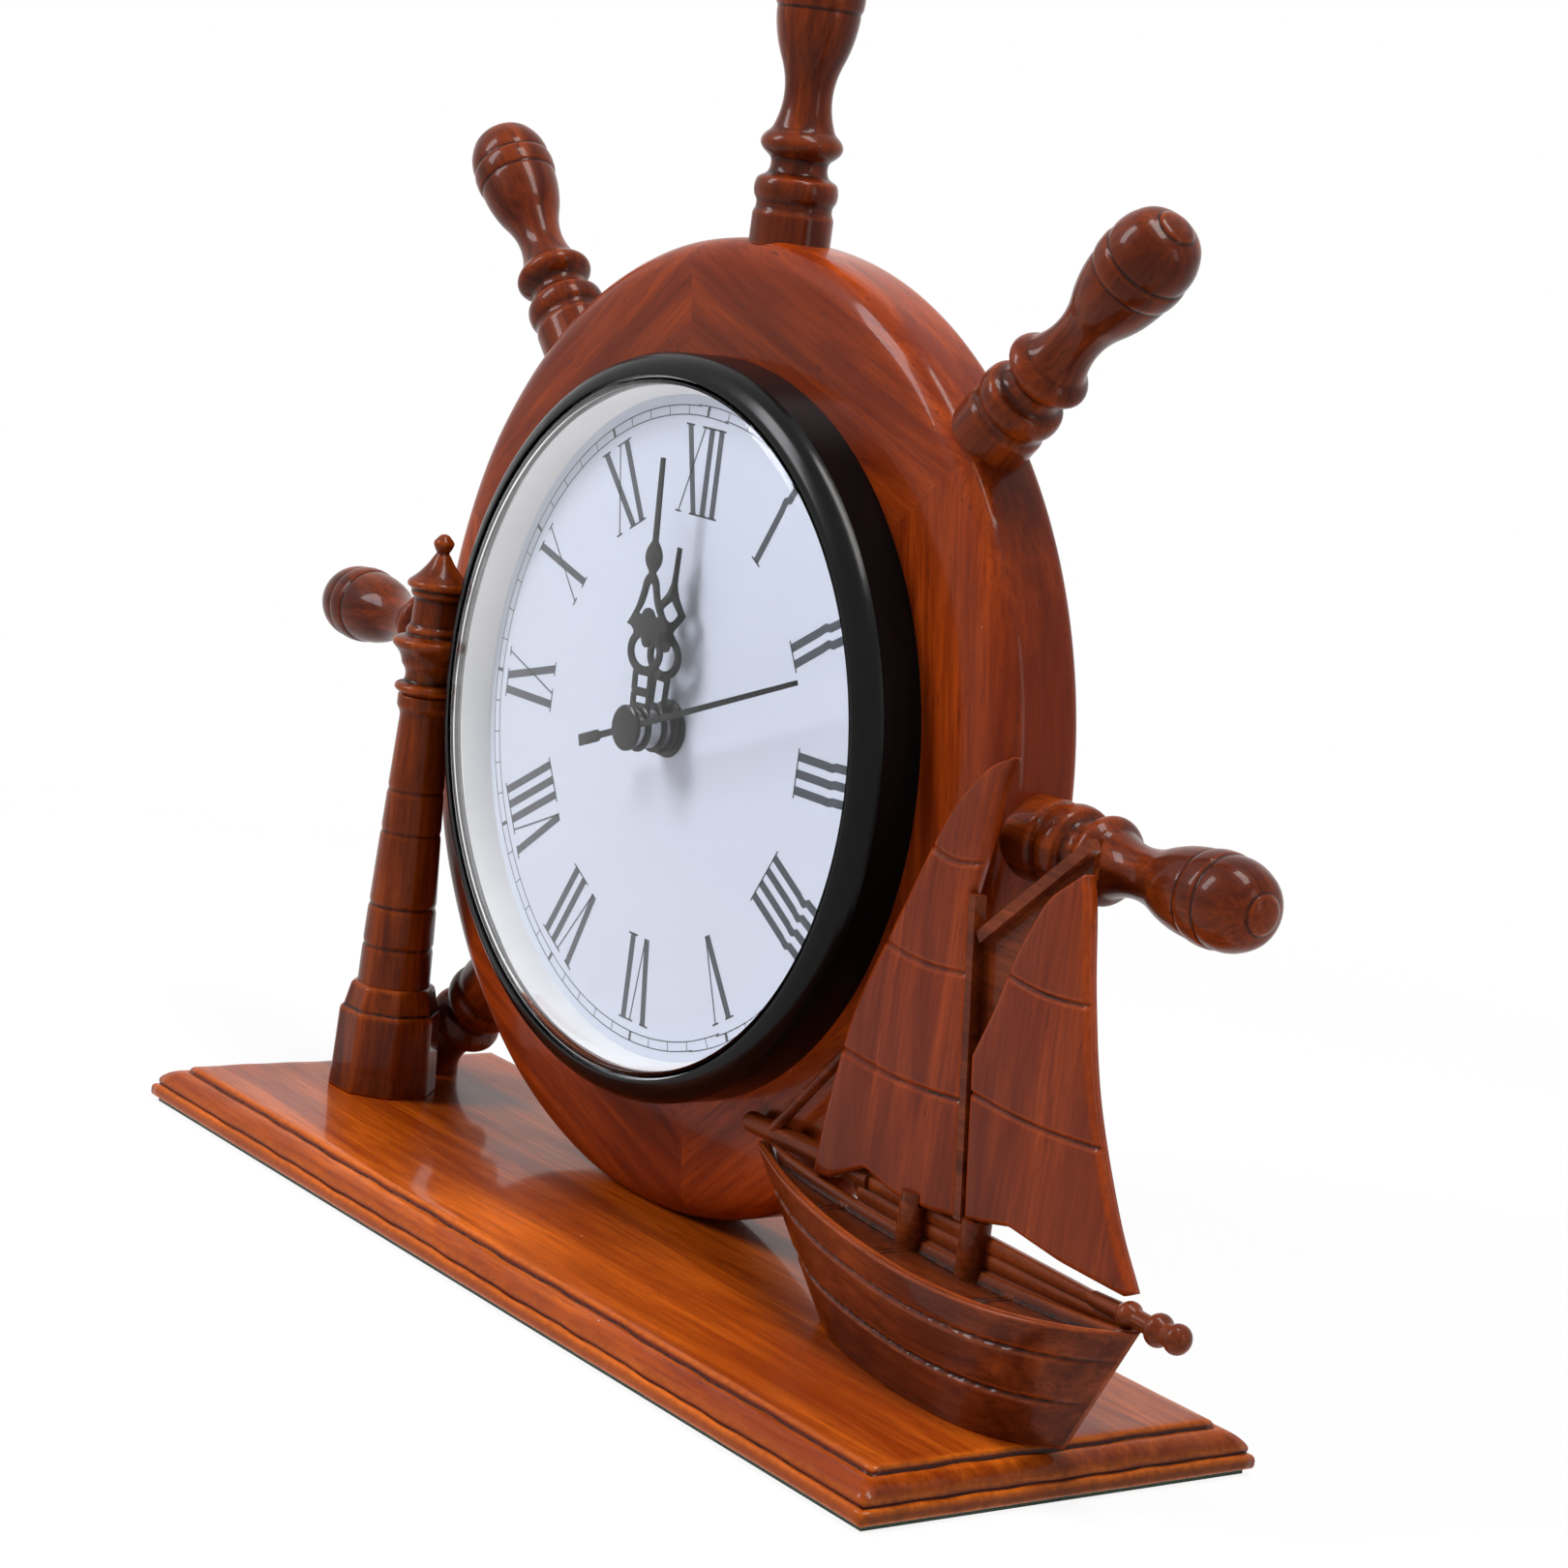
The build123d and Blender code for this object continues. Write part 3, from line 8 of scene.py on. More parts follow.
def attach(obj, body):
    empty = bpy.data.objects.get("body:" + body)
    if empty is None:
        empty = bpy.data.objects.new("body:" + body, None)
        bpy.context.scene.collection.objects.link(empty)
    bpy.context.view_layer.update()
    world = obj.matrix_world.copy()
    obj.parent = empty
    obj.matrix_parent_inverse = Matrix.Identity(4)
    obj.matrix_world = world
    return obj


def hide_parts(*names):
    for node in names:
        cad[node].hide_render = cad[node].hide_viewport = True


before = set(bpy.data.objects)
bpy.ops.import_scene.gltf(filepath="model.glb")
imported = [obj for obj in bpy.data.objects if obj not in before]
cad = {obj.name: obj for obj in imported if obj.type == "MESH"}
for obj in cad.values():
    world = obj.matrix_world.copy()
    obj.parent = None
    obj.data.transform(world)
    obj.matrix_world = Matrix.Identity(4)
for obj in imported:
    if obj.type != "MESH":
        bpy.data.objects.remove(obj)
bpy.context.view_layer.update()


# The view and the studio: a white sweep and three soft lamps, at the left front, overhead and, weaker,
# at the right. The camera stands where the photograph was taken from, a little above the disc.
camera_place = Vector((0.50303, -0.37085, 0.19528))
camera_azimuth = radians(52.4)
camera_height_angle = radians(9.58)
camera_roll = radians(7.55)
camera_lens = 83.73

looking_back = Vector((
    sin(camera_azimuth) * cos(camera_height_angle),
    -cos(camera_azimuth) * cos(camera_height_angle),
    sin(camera_height_angle),
))
camera_data = bpy.data.cameras.new("photo_camera")
camera_data.lens = camera_lens
camera_data.sensor_width = 36.0
camera_data.clip_start = 0.01
camera = bpy.data.objects.new("photo_camera", camera_data)
camera.matrix_world = (
    Matrix.Translation(camera_place)
    @ looking_back.to_track_quat("Z", "Y").to_matrix().to_4x4()
    @ Matrix.Rotation(camera_roll, 4, "Z")
)
bpy.context.scene.collection.objects.link(camera)
bpy.context.scene.camera = camera
bpy.context.scene.view_settings.view_transform = "Standard"


def feed(tree, node, inputs):
    """Give a node's inputs their values, or link them to another node's output"""
    for key, value in inputs.items():
        if isinstance(value, bpy.types.NodeSocket):
            tree.links.new(value, node.inputs[key])
        else:
            node.inputs[key].default_value = value


def add(tree, kind, inputs=None, **settings):
    """One node of a tree, with its settings and its inputs"""
    made = tree.nodes.new(kind)
    for key, value in settings.items():
        setattr(made, key, value)
    feed(tree, made, inputs or {})
    return made


def maths(tree, operation, *values):
    """One step of arithmetic on numbers or outputs"""
    return add(tree, "ShaderNodeMath", dict(enumerate(values)), operation=operation).outputs[0]


def vectors(tree, operation, *values):
    """One step of arithmetic on vectors or outputs"""
    return add(tree, "ShaderNodeVectorMath", dict(enumerate(values)), operation=operation).outputs[0]


def spread(tree, value, low, high, to_low=0.0, to_high=1.0, **settings):
    """A value between low and high, spread from to_low to to_high"""
    return add(tree, "ShaderNodeMapRange", {"Value": value, "From Min": low, "From Max": high,
                                            "To Min": to_low, "To Max": to_high}, **settings).outputs[0]


def shader_mix(tree, share, first, second):
    """Two shaders, mixed by a share that is 0 for the first and 1 for the second"""
    return add(tree, "ShaderNodeMixShader", {0: share, 1: first.outputs[0], 2: second.outputs[0]})


def colour(red, green, blue):
    """A colour as the eye reads it, 0 to 255, turned into the shader's own scale"""
    scaled = [v / 255 for v in (red, green, blue)]
    linear = [v / 12.92 if v <= 0.04045 else ((v + 0.055) / 1.055) ** 2.4 for v in scaled]
    return (*linear, 1.0)


def background_rays(tree):
    """1 for the rays that should meet the white background"""
    rays = add(tree, "ShaderNodeLightPath").outputs
    seen = maths(tree, "MAXIMUM", rays["Is Camera Ray"], rays["Is Glossy Ray"])
    return maths(tree, "MAXIMUM", seen, rays["Is Transmission Ray"])


studio_air = bpy.data.worlds.new("studio_air")
studio_air.use_nodes = True
air = studio_air.node_tree
air.nodes.clear()
soft_air = add(air, "ShaderNodeBackground", {"Color": colour(232, 236, 244), "Strength": 0.16})
white_air = add(air, "ShaderNodeBackground", {"Color": (1, 1, 1, 1), "Strength": 1.0})
air_mix = shader_mix(air, background_rays(air), soft_air, white_air)
add(air, "ShaderNodeOutputWorld", {0: air_mix.outputs[0]})
bpy.context.scene.world = studio_air

sweep_size = 0.9
sweep_fade = (0.30, 0.42)
sweep_whiteness = 0.90
floor_drop = 0.0001
sweep = bpy.data.materials.new("white_sweep")
sweep.use_nodes = True
sweep_tree = sweep.node_tree
sweep_tree.nodes.clear()
sweep_paper = add(sweep_tree, "ShaderNodeBsdfDiffuse", {"Color": colour(250, 250, 250)})
sweep_white = add(sweep_tree, "ShaderNodeEmission", {"Color": (1, 1, 1, 1), "Strength": 1.0})
sweep_share = maths(sweep_tree, "MULTIPLY", background_rays(sweep_tree), sweep_whiteness)
sweep_seen = shader_mix(sweep_tree, sweep_share, sweep_paper, sweep_white)
sweep_place = add(sweep_tree, "ShaderNodeTexCoord").outputs["Object"]
sweep_reach = add(sweep_tree, "ShaderNodeVectorMath", {0: sweep_place}, operation="LENGTH").outputs["Value"]
sweep_edge = spread(sweep_tree, sweep_reach, *sweep_fade, interpolation_type="SMOOTHSTEP")
sweep_clear = add(sweep_tree, "ShaderNodeBsdfTransparent")
sweep_out = shader_mix(sweep_tree, sweep_edge, sweep_seen, sweep_clear)
add(sweep_tree, "ShaderNodeOutputMaterial", {0: sweep_out.outputs[0]})

floor_mesh = bpy.data.meshes.new("studio_floor")
half = sweep_size / 2
floor_corners = [(x, y, -floor_drop) for x, y in ((-half, -half), (half, -half), (half, half), (-half, half))]
floor_mesh.from_pydata(floor_corners, [], [(0, 1, 2, 3)])
floor_mesh.materials.append(sweep)
studio_floor = bpy.data.objects.new("studio_floor", floor_mesh)
bpy.context.scene.collection.objects.link(studio_floor)


def soft_lamp(name, place, aim_height, size, power, tint):
    """A rectangular soft lamp that looks at a point above the middle of the plinth"""
    data = bpy.data.lights.new(name, "AREA")
    data.shape = "RECTANGLE"
    data.size, data.size_y = size
    data.energy = power
    data.color = colour(*tint)[:3]
    lamp = bpy.data.objects.new(name, data)
    lamp.location = place
    lamp.rotation_euler = (Vector(place) - Vector((0, 0, aim_height))).to_track_quat("Z", "Y").to_euler()
    bpy.context.scene.collection.objects.link(lamp)


soft_lamp("left_front_lamp", (-0.46, -0.72, 0.74), aim_height=0.12, size=(0.28, 0.56), power=8.8,
          tint=(250, 250, 255))
soft_lamp("overhead_lamp", (0.30, 0.02, 0.95), aim_height=0.10, size=(0.22, 0.60), power=8.4,
          tint=(255, 252, 248))
soft_lamp("right_lamp", (1.25, 0.35, 0.45), aim_height=0.10, size=(0.25, 0.70), power=2.0,
          tint=(255, 253, 250))


# Plinth: a sawn board of reddish hardwood with a moulded edge, stained orange-brown and sprayed
# with a satin lacquer. Its quirks are painted darker, as gathered stain and painted shade, and its
# moulded sides and ends carry painted shade. A felt sheet is glued under it, and five steel screws
# come up through it into the disc, the lighthouse and the boat.

tightest_hollow = 0.0007
shortest_edge = 0.00012
smoothing_passes = 2


def mark_hollows(mesh):
    """Write on every point how hollow the surface is there, above 0, or how proud, below 0, so that the
    wood darkens in grooves, as gathered stain and painted shade, and lightens on edges, as wear and painted
    highlight"""
    count = len(mesh.vertices)
    place = np.empty(count * 3)
    normal = np.empty(count * 3)
    ends = np.empty(len(mesh.edges) * 2, dtype=np.int32)
    mesh.vertices.foreach_get("co", place)
    mesh.vertices.foreach_get("normal", normal)
    mesh.edges.foreach_get("vertices", ends)
    place, normal = place.reshape(-1, 3), normal.reshape(-1, 3)
    start, end = np.concatenate((ends[::2], ends[1::2])), np.concatenate((ends[1::2], ends[::2]))
    way = place[end] - place[start]
    squared = np.maximum((way ** 2).sum(axis=1), shortest_edge ** 2)
    bend = 2 * (way * normal[start]).sum(axis=1) / squared * tightest_hollow
    sunk, proud = np.zeros(count), np.zeros(count)
    np.maximum.at(sunk, start, bend)
    np.minimum.at(proud, start, bend)
    hollow = np.clip(sunk, 0, 1) + np.clip(proud, -1, 0)
    neighbours = np.maximum(np.bincount(start, minlength=count), 1)
    for _ in range(smoothing_passes):
        hollow = 0.5 * hollow + 0.5 * np.bincount(start, weights=hollow[end], minlength=count) / neighbours
    mesh.attributes.new("hollow", "FLOAT", "POINT").data.foreach_set("value", hollow)


def face_outward(shape):
    """Turn a closed shape's faces outwards, judged by the sign of its volume"""
    bmesh.ops.recalc_face_normals(shape, faces=shape.faces)
    if shape.calc_volume(signed=True) < 0:
        bmesh.ops.reverse_faces(shape, faces=shape.faces)


def closed_mesh(name, shape, stained=True):
    """The mesh of a closed shape, with its faces outwards and, where it is stained, its hollows marked"""
    face_outward(shape)
    mesh = bpy.data.meshes.new(name)
    shape.to_mesh(mesh)
    shape.free()
    if stained:
        mark_hollows(mesh)
    return mesh


def skinned(name, rings, closed=False, stained=True, turned_end=None):
    """A mesh from rings of points, each joined to the next, and the last to the first where closed. A ring
    of one point is a pole, and any other end is capped, the turned one against the order of its ring."""
    shape = bmesh.new()
    made = [[shape.verts.new(point) for point in ring] for ring in rings]
    for low, high in zip(made, made[1:] + (made[:1] if closed else [])):
        for index in range(max(len(low), len(high))):
            after = index + 1
            corners = (low[index % len(low)], low[after % len(low)],
                       high[after % len(high)], high[index % len(high)])
            shape.faces.new(list(dict.fromkeys(corners)))
    for end in () if closed else (0, -1):
        ring = made[end]
        if len(ring) > 1:
            shape.faces.new(ring[::-1] if end == turned_end else ring)
    return closed_mesh(name, shape, stained)


def new_material(name):
    """A new material with its tree, its shader, and the place on the object that patterns follow"""
    made = bpy.data.materials.new(name)
    made.use_nodes = True
    tree = made.node_tree
    return made, tree, tree.nodes["Principled BSDF"], add(tree, "ShaderNodeTexCoord").outputs["Object"]


def noise(tree, place, scale, detail, roughness=0.5, distortion=0.0):
    """Soft noise from 0 to 1, with so many features a metre"""
    return add(tree, "ShaderNodeTexNoise", {"Vector": place, "Scale": scale, "Detail": detail,
                                            "Roughness": roughness, "Distortion": distortion}).outputs["Fac"]


def blended(tree, share, first, second):
    """A colour between two, by a share that is 0 for the first and 1 for the second"""
    return add(tree, "ShaderNodeMix", {0: share, 6: first, 7: second}, data_type="RGBA").outputs[2]


def bump(tree, height, strength, distance):
    """The surface's slope from a pattern of heights"""
    made = add(tree, "ShaderNodeBump", {"Height": height, "Strength": strength, "Distance": distance})
    return made.outputs[0]


def written(tree, name, output="Fac"):
    """What the mesh has written on its points or corners under a name"""
    return add(tree, "ShaderNodeAttribute", attribute_name=name).outputs[output]


def lacquered_wood(name, dark, middle, light, grain="X", attribute=None, number=None, hollow_stain_and_shade=0.85, seam=None,
                   dust=0.0, sides=0.0):
    """Stained wood under lacquer. grain is the axis the fibres run along, on Object coordinates or on
    the named attribute. The wood darkens in hollows, as gathered stain and painted shade, by the given share,
    and lightens on proud edges, as wear and painted highlight; dust is how much lies on top, and sides how
    far the moulded sides and end faces darken as painted shade, by how they turn from the top."""
    made, tree, shader, place = new_material(name)
    if attribute:
        place = written(tree, attribute, "Vector")
    if number:
        stretch_of_board = (0.137, 0.211, 0.173)
        shift = vectors(tree, "MULTIPLY", written(tree, number), stretch_of_board)
        place = vectors(tree, "ADD", place, shift)

    def fibres(along, across, detail, roughness, distortion=0.0):
        """Noise drawn out along the grain, with so many features a metre along and across it"""
        scale = [along if axis == grain else across for axis in "XYZ"]
        return noise(tree, vectors(tree, "MULTIPLY", place, scale), 1.0, detail, roughness, distortion)

    def product(first, second):
        return maths(tree, "MULTIPLY", first, second)

    # Near-black for pores and joints, and for the painted shade in hollows and on end faces.
    stain_and_shade_black = (0.010, 0.003, 0.002, 1.0)
    # Lighter tone for worn edges and painted highlight.
    worn = [min(1.0, 1.7 * v) for v in light[:3]] + [1.0]
    settled_dust = (0.75, 0.70, 0.66, 1.0)
    satin = 0.36
    figure = fibres(12, 120, 4.0, 0.6, 1.1)
    strands = fibres(40, 950, 4.0, 0.7)
    clouds = fibres(18, 40, 2.0, 0.5)
    pores = fibres(260, 2800, 2.0, 0.5)
    body = blended(tree, spread(tree, figure, 0.36, 0.64), dark, light)
    body = blended(tree, 0.28, body, middle)
    body = blended(tree, spread(tree, strands, 0.40, 0.66, 0.0, 0.60), body, dark)
    body = blended(tree, spread(tree, clouds, 0.42, 0.66, 0.0, 0.55), body, dark)
    pore = spread(tree, pores, 0.65, 0.72)
    body = blended(tree, product(pore, 0.55), body, stain_and_shade_black)
    # Painted shade: the moulded sides and the end faces darker, by how they turn from the top.
    if sides:
        upright = add(tree, "ShaderNodeTexCoord").outputs["Normal"]
        facing = add(tree, "ShaderNodeSeparateXYZ", {0: upright}).outputs
        end_facing = maths(tree, "ABSOLUTE", facing["X"])
        body = blended(tree, spread(tree, facing["Z"], 0.50, 0.97, sides, 0.0), body, dark)
        body = blended(tree, spread(tree, end_facing, 0.30, 0.90, 0.0, sides), body, stain_and_shade_black)
    hollow = written(tree, "hollow")
    uneven = spread(tree, fibres(700, 700, 2.0, 0.6), 0.30, 0.65, 0.55, 1.1)
    # Proud edges lighter, as wear and painted highlight; hollows darker, as gathered stain and painted shade.
    body = blended(tree, product(spread(tree, hollow, -0.15, -0.75, 0.0, 0.30), uneven), body, worn)
    body = blended(tree, product(spread(tree, hollow, 0.06, 0.50, 0.0, hollow_stain_and_shade), uneven), body, stain_and_shade_black)
    if seam:
        gap = spread(tree, written(tree, seam), 0.00006, 0.00026, 0.75, 0.0)
        body = blended(tree, product(gap, uneven), body, stain_and_shade_black)
    if dust:
        speck = add(tree, "ShaderNodeTexVoronoi", {"Vector": place, "Scale": 210.0}).outputs
        chosen = add(tree, "ShaderNodeTexWhiteNoise", {"Vector": speck["Color"]}).outputs["Value"]
        near = spread(tree, speck["Distance"], 0.022, 0.040, 1.0, 0.0)
        kept = spread(tree, chosen, 0.90, 0.92)
        body = blended(tree, product(product(near, kept), dust), body, settled_dust)
    relief = maths(tree, "ADD", product(pore, -0.6), fibres(190, 190, 2.0, 0.5))
    relief = maths(tree, "ADD", spread(tree, strands, 0.2, 0.8, 0.0, 0.25), relief)
    feed(tree, shader, {
        "Base Color": body, "Normal": bump(tree, relief, 0.24, 0.00022),
        "Roughness": spread(tree, fibres(35, 60, 3.0, 0.6), 0.3, 0.7, satin - 0.05, satin + 0.07),
        "IOR": 1.25, "Specular IOR Level": 0.18,
        "Coat Weight": 0.50, "Coat Roughness": 0.08, "Coat IOR": 1.24,
    })
    return made


def dress(names, material):
    """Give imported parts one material"""
    for name in names:
        for place in cad[name].material_slots:
            place.material = material


# sides=0.7: the moulded sides and the ends darkened as painted shade.
plinth_wood = lacquered_wood("plinth_wood", colour(110, 36, 2), colour(176, 74, 10), colour(212, 104, 22),
                             dust=0.8, sides=0.7)
plinth_length = 0.230
plinth_depth = 0.080
plinth_top = 0.008
plinth_rows = (
    (0.0006, 0.0010), (0.0002, 0.0011), (0.00005, 0.0014), (0.0, 0.0018), (0.0, 0.0024), (0.0001, 0.0029),
    (0.0004, 0.0033), (0.0009, 0.0034), (0.0011, 0.0034), (0.0011, 0.0036), (0.00095, 0.0040),
    (0.0010, 0.0045), (0.0013, 0.0050), (0.0018, 0.0055), (0.0024, 0.0060), (0.0031, 0.0064),
    (0.0038, 0.0067), (0.0044, 0.0068), (0.0048, 0.0067), (0.00500, 0.00655), (0.00515, 0.00665),
    (0.00525, 0.0070), (0.0053, 0.0074), (0.0055, 0.0077), (0.0058, 0.0079), (0.0062, 0.0080),
    (0.0080, 0.0080),
)
plinth_step = 0.0022
sanding_waves = 0.00022
waves_start = 0.0012
moulding_top = 0.0068
waves_on_top = 0.4


def finished_piece(name, mesh, material, body="clock", replaced=(), flat=False):
    """A finished piece of the clock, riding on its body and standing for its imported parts"""
    mesh.materials.clear()
    mesh.materials.append(material)
    for face in mesh.polygons:
        face.use_smooth = not flat
    piece = bpy.data.objects.new(name, mesh)
    bpy.context.scene.collection.objects.link(piece)
    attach(piece, body)
    if replaced:
        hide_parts(*replaced)


def moulded_board(name, length, depth, rows):
    """A board whose edge follows rows of (inset, height), mitred at the corners and a little wavy, as
    a hand-sanded moulding is"""
    counts = (round(length / plinth_step), round(depth / plinth_step))
    rings = []
    for inset, height in rows:
        half_x, half_y = length / 2 - inset, depth / 2 - inset
        corners = [(-half_x, -half_y), (half_x, -half_y), (half_x, half_y), (-half_x, half_y)]
        ring = []
        for side, count in enumerate(counts * 2):
            start, end = corners[side], corners[(side + 1) % 4]
            for index in range(count):
                share = index / count
                x = start[0] + (end[0] - start[0]) * share
                y = start[1] + (end[1] - start[1]) * share
                free = min(1.0, 6 * share, 6 * (1 - share))
                waves = (sin(x * 210 + height * 400) * sin(y * 170 + x * 95)
                         + 0.5 * sin(x * 620 + y * 540 + height * 900))
                drift = sanding_waves * free * waves * min(1.0, inset / waves_start)
                drift *= 1.0 if height < moulding_top else waves_on_top
                ring.append((x, y, min(height + drift, plinth_top)))
        rings.append(ring)
    return skinned(name, rings, turned_end=0)


finished_piece("moulded_plinth", moulded_board("moulded_plinth", plinth_length, plinth_depth, plinth_rows),
               plinth_wood, replaced=("plinth_board",))

felt, felt_tree, felt_shader, felt_place = new_material("green_felt")
felt_wool = noise(felt_tree, felt_place, 1400.0, 5.0, 0.7)
felt_tone = add(felt_tree, "ShaderNodeValToRGB", {0: felt_wool})
felt_tone.color_ramp.elements[0].color = colour(20, 44, 32)
felt_tone.color_ramp.elements[1].color = colour(52, 84, 62)
feed(felt_tree, felt_shader, {
    "Base Color": felt_tone.outputs[0], "Normal": bump(felt_tree, felt_wool, 0.6, 0.0003),
    "Roughness": 0.95, "Sheen Weight": 0.5,
})
dress(["base_felt"], felt)


def metal(name, tone, roughness, brushed=(400, 3000, 3000)):
    """Metal with fine scratches and a slightly uneven shine"""
    made, tree, shader, place = new_material(name)
    lines = noise(tree, vectors(tree, "MULTIPLY", place, brushed), 1.0, 3.0)
    spots = noise(tree, place, 260.0, 2.0)
    dull = [0.8 * v for v in tone[:3]] + [1.0]
    feed(tree, shader, {
        "Base Color": blended(tree, spots, dull, tone), "Normal": bump(tree, lines, 0.12, 0.00005),
        "Roughness": spread(tree, lines, 0.0, 1.0, roughness - 0.08, roughness + 0.10), "Metallic": 1.0,
    })
    return made


dress(["base_screws"], metal("zinc_plated_steel", colour(178, 180, 186), 0.32))


# Wheel disc: six felloes of the same hardwood, glued end to end and turned to a ring, so that
# the grain follows the rim from joint to joint. Its front edge is rounded over by hand, and it
# stands in the plinth on two screws.

wheel_centre = Vector((-0.016, 0.0, 0.0947))
wheel_front = 0.0055
wheel_radius = 0.0873
felloe_count = 6
first_joint = 49.0
disc_rows = (
    (0.0623, 0.0155), (0.0623, 0.0004), (0.0627, 0.0), (0.0660, 0.0), (0.0700, 0.0), (0.0745, 0.0),
    (0.0790, 0.00002), (0.0822, 0.00010), (0.0836, 0.00030), (0.0848, 0.00072), (0.0858, 0.00138),
    (0.0866, 0.00230), (0.08712, 0.00335), (0.0873, 0.0046), (0.0873, 0.0075), (0.0873, 0.0105),
    (0.0873, 0.0140), (0.08712, 0.0150), (0.0866, 0.01565), (0.0858, 0.0160), (0.0800, 0.0160),
    (0.0700, 0.0160), (0.0628, 0.0160),
)
disc_steps = 288
felloe_shift = (0.31, 0.17)
rim_unevenness = 0.00012
rounding_depth = 0.006
rounding_radius = 0.08


def felloe_disc(name, rows):
    """A ring turned from rows of (radius, depth), with each felloe's own grain on its corners"""
    rings = []
    for step in range(disc_steps):
        turn = 2 * pi * step / disc_steps
        ring = []
        for radius, depth in rows:
            on_rounding = depth < rounding_depth and radius > rounding_radius
            worn = rim_unevenness * sin(7 * turn + 3) * sin(13 * turn) if on_rounding else 0.0
            reach = radius + worn * 0.6
            ring.append((wheel_centre.x + reach * sin(turn), wheel_front + depth + worn,
                         wheel_centre.z + reach * cos(turn)))
        rings.append(ring)
    mesh = skinned(name, rings, closed=True, stained=False)
    mesh.attributes.new("felloe_grain", "FLOAT_VECTOR", "CORNER")
    mesh.attributes.new("felloe_joint", "FLOAT", "CORNER")
    grain = mesh.attributes["felloe_grain"].data
    joint = mesh.attributes["felloe_joint"].data
    felloe_angle = 360 / felloe_count
    for face in mesh.polygons:
        middle = face.center - Vector((wheel_centre.x, 0, wheel_centre.z))
        turn = degrees(atan2(middle.x, middle.z)) % 360
        number = int(((turn - first_joint) % 360) // felloe_angle)
        across = radians(first_joint + (number + 0.5) * felloe_angle)
        for corner in face.loop_indices:
            point = mesh.vertices[mesh.loops[corner].vertex_index].co
            x, z = point.x - wheel_centre.x, point.z - wheel_centre.z
            along = x * cos(across) - z * sin(across)
            out = x * sin(across) + z * cos(across)
            grain[corner].vector = (along + felloe_shift[0] * number, point.y, out + felloe_shift[1] * number)
            corner_turn = degrees(atan2(x, z))
            passed = (corner_turn - first_joint) % felloe_angle
            joint[corner].value = radians(min(passed, felloe_angle - passed)) * hypot(x, z)
    return mesh


disc_wood = lacquered_wood("wheel_wood", colour(96, 27, 2), colour(142, 51, 8), colour(174, 71, 14),
                           attribute="felloe_grain", seam="felloe_joint", dust=0.5)
finished_piece("wheel_ring", felloe_disc("wheel_ring", disc_rows), disc_wood, replaced=("wheel_disc",))


# Spokes: seven turned handles of darker wood, at every eighth of the rim but the lowest. Each is
# turned in a lathe with a bead, a scored groove, a flange and a swelling grip, and is glued into the
# rim. The two that lean down are cut off where they meet the plinth.

spoke_reach = 0.0532
spoke_radius = 0.0078
spoke_setback = 0.0143
spoke_rows = (
    (-0.022, 0.92), (0.085, 0.92), (0.10, 0.86), (0.125, 0.86), (0.135, 0.92), (0.20, 0.90, 0.10),
    (0.215, 0.70), (0.265, 0.66, -0.10), (0.285, 0.83), (0.345, 0.84, 0.26), (0.36, 0.72),
    (0.585, 0.70, -0.105), (0.745, 0.945, 0.045), (0.752, 0.925), (0.760, 0.975), (0.825, 0.990, 0.04),
    (0.832, 0.945), (0.840, 0.965), (0.925, 0.840, 0.07), (0.980, 0.420, 0.12), (1.0, 0.0, 0.06),
)
profile_step = 0.00032
easing_passes = 2
out_of_true = 0.004


def turned_profile(rows, radius, length, start=0.0):
    """Points (radius, height) down a turned outline, with every arc drawn out and every corner eased
    as the sanding eases it"""
    drawn = [(rows[0][1] * radius, start + rows[0][0] * length)]
    for row in rows[1:]:
        low, high = drawn[-1], (row[1] * radius, start + row[0] * length)
        bulge = row[2] if len(row) > 2 else 0.0
        reach = hypot(high[0] - low[0], high[1] - low[1])
        count = max(2, round(reach / profile_step))
        for index in range(1, count + 1):
            share = index / count
            if high[0] == 0 and bulge:
                point = (low[0] * cos(share * pi / 2), low[1] + (high[1] - low[1]) * sin(share * pi / 2))
            else:
                lift = 4 * bulge * share * (1 - share)
                point = (low[0] + (high[0] - low[0]) * share + lift * (high[1] - low[1]),
                         low[1] + (high[1] - low[1]) * share - lift * (high[0] - low[0]))
            drawn.append(point)
    for _ in range(easing_passes):
        eased = [drawn[0]]
        for before, here, after in zip(drawn, drawn[1:], drawn[2:]):
            eased.append(tuple((a + 2 * b + c) / 4 for a, b, c in zip(before, here, after)))
        drawn = eased + [drawn[-1]]
    return drawn


def turned_piece(name, points, sides=40, place=(0.0, 0.0)):
    """A turned solid about an upright axis, from points (radius, height), a little out of true"""
    rings = []
    for radius, height in points:
        ring = []
        for side in range(sides if radius > 1e-6 else 1):
            turn = 2 * pi * side / sides
            lobes = sin(2 * turn + height * 130) + 0.5 * sin(3 * turn - height * 300)
            reach = radius * (1 + out_of_true * lobes)
            ring.append((place[0] + reach * cos(turn), place[1] + reach * sin(turn), height))
        rings.append(ring)
    return skinned(name, rings)


def new_tree(name, inputs):
    """A geometry tree and its inputs, each with its kind of socket and its usual value"""
    tree = bpy.data.node_groups.new(name, "GeometryNodeTree")
    tree.interface.new_socket(name="Geometry", in_out="INPUT", socket_type="NodeSocketGeometry")
    for label, (kind, value) in inputs.items():
        made = tree.interface.new_socket(name=label, in_out="INPUT", socket_type="NodeSocket" + kind)
        made.default_value = value
    tree.interface.new_socket(name="Geometry", in_out="OUTPUT", socket_type="NodeSocketGeometry")
    return tree, add(tree, "NodeGroupInput").outputs


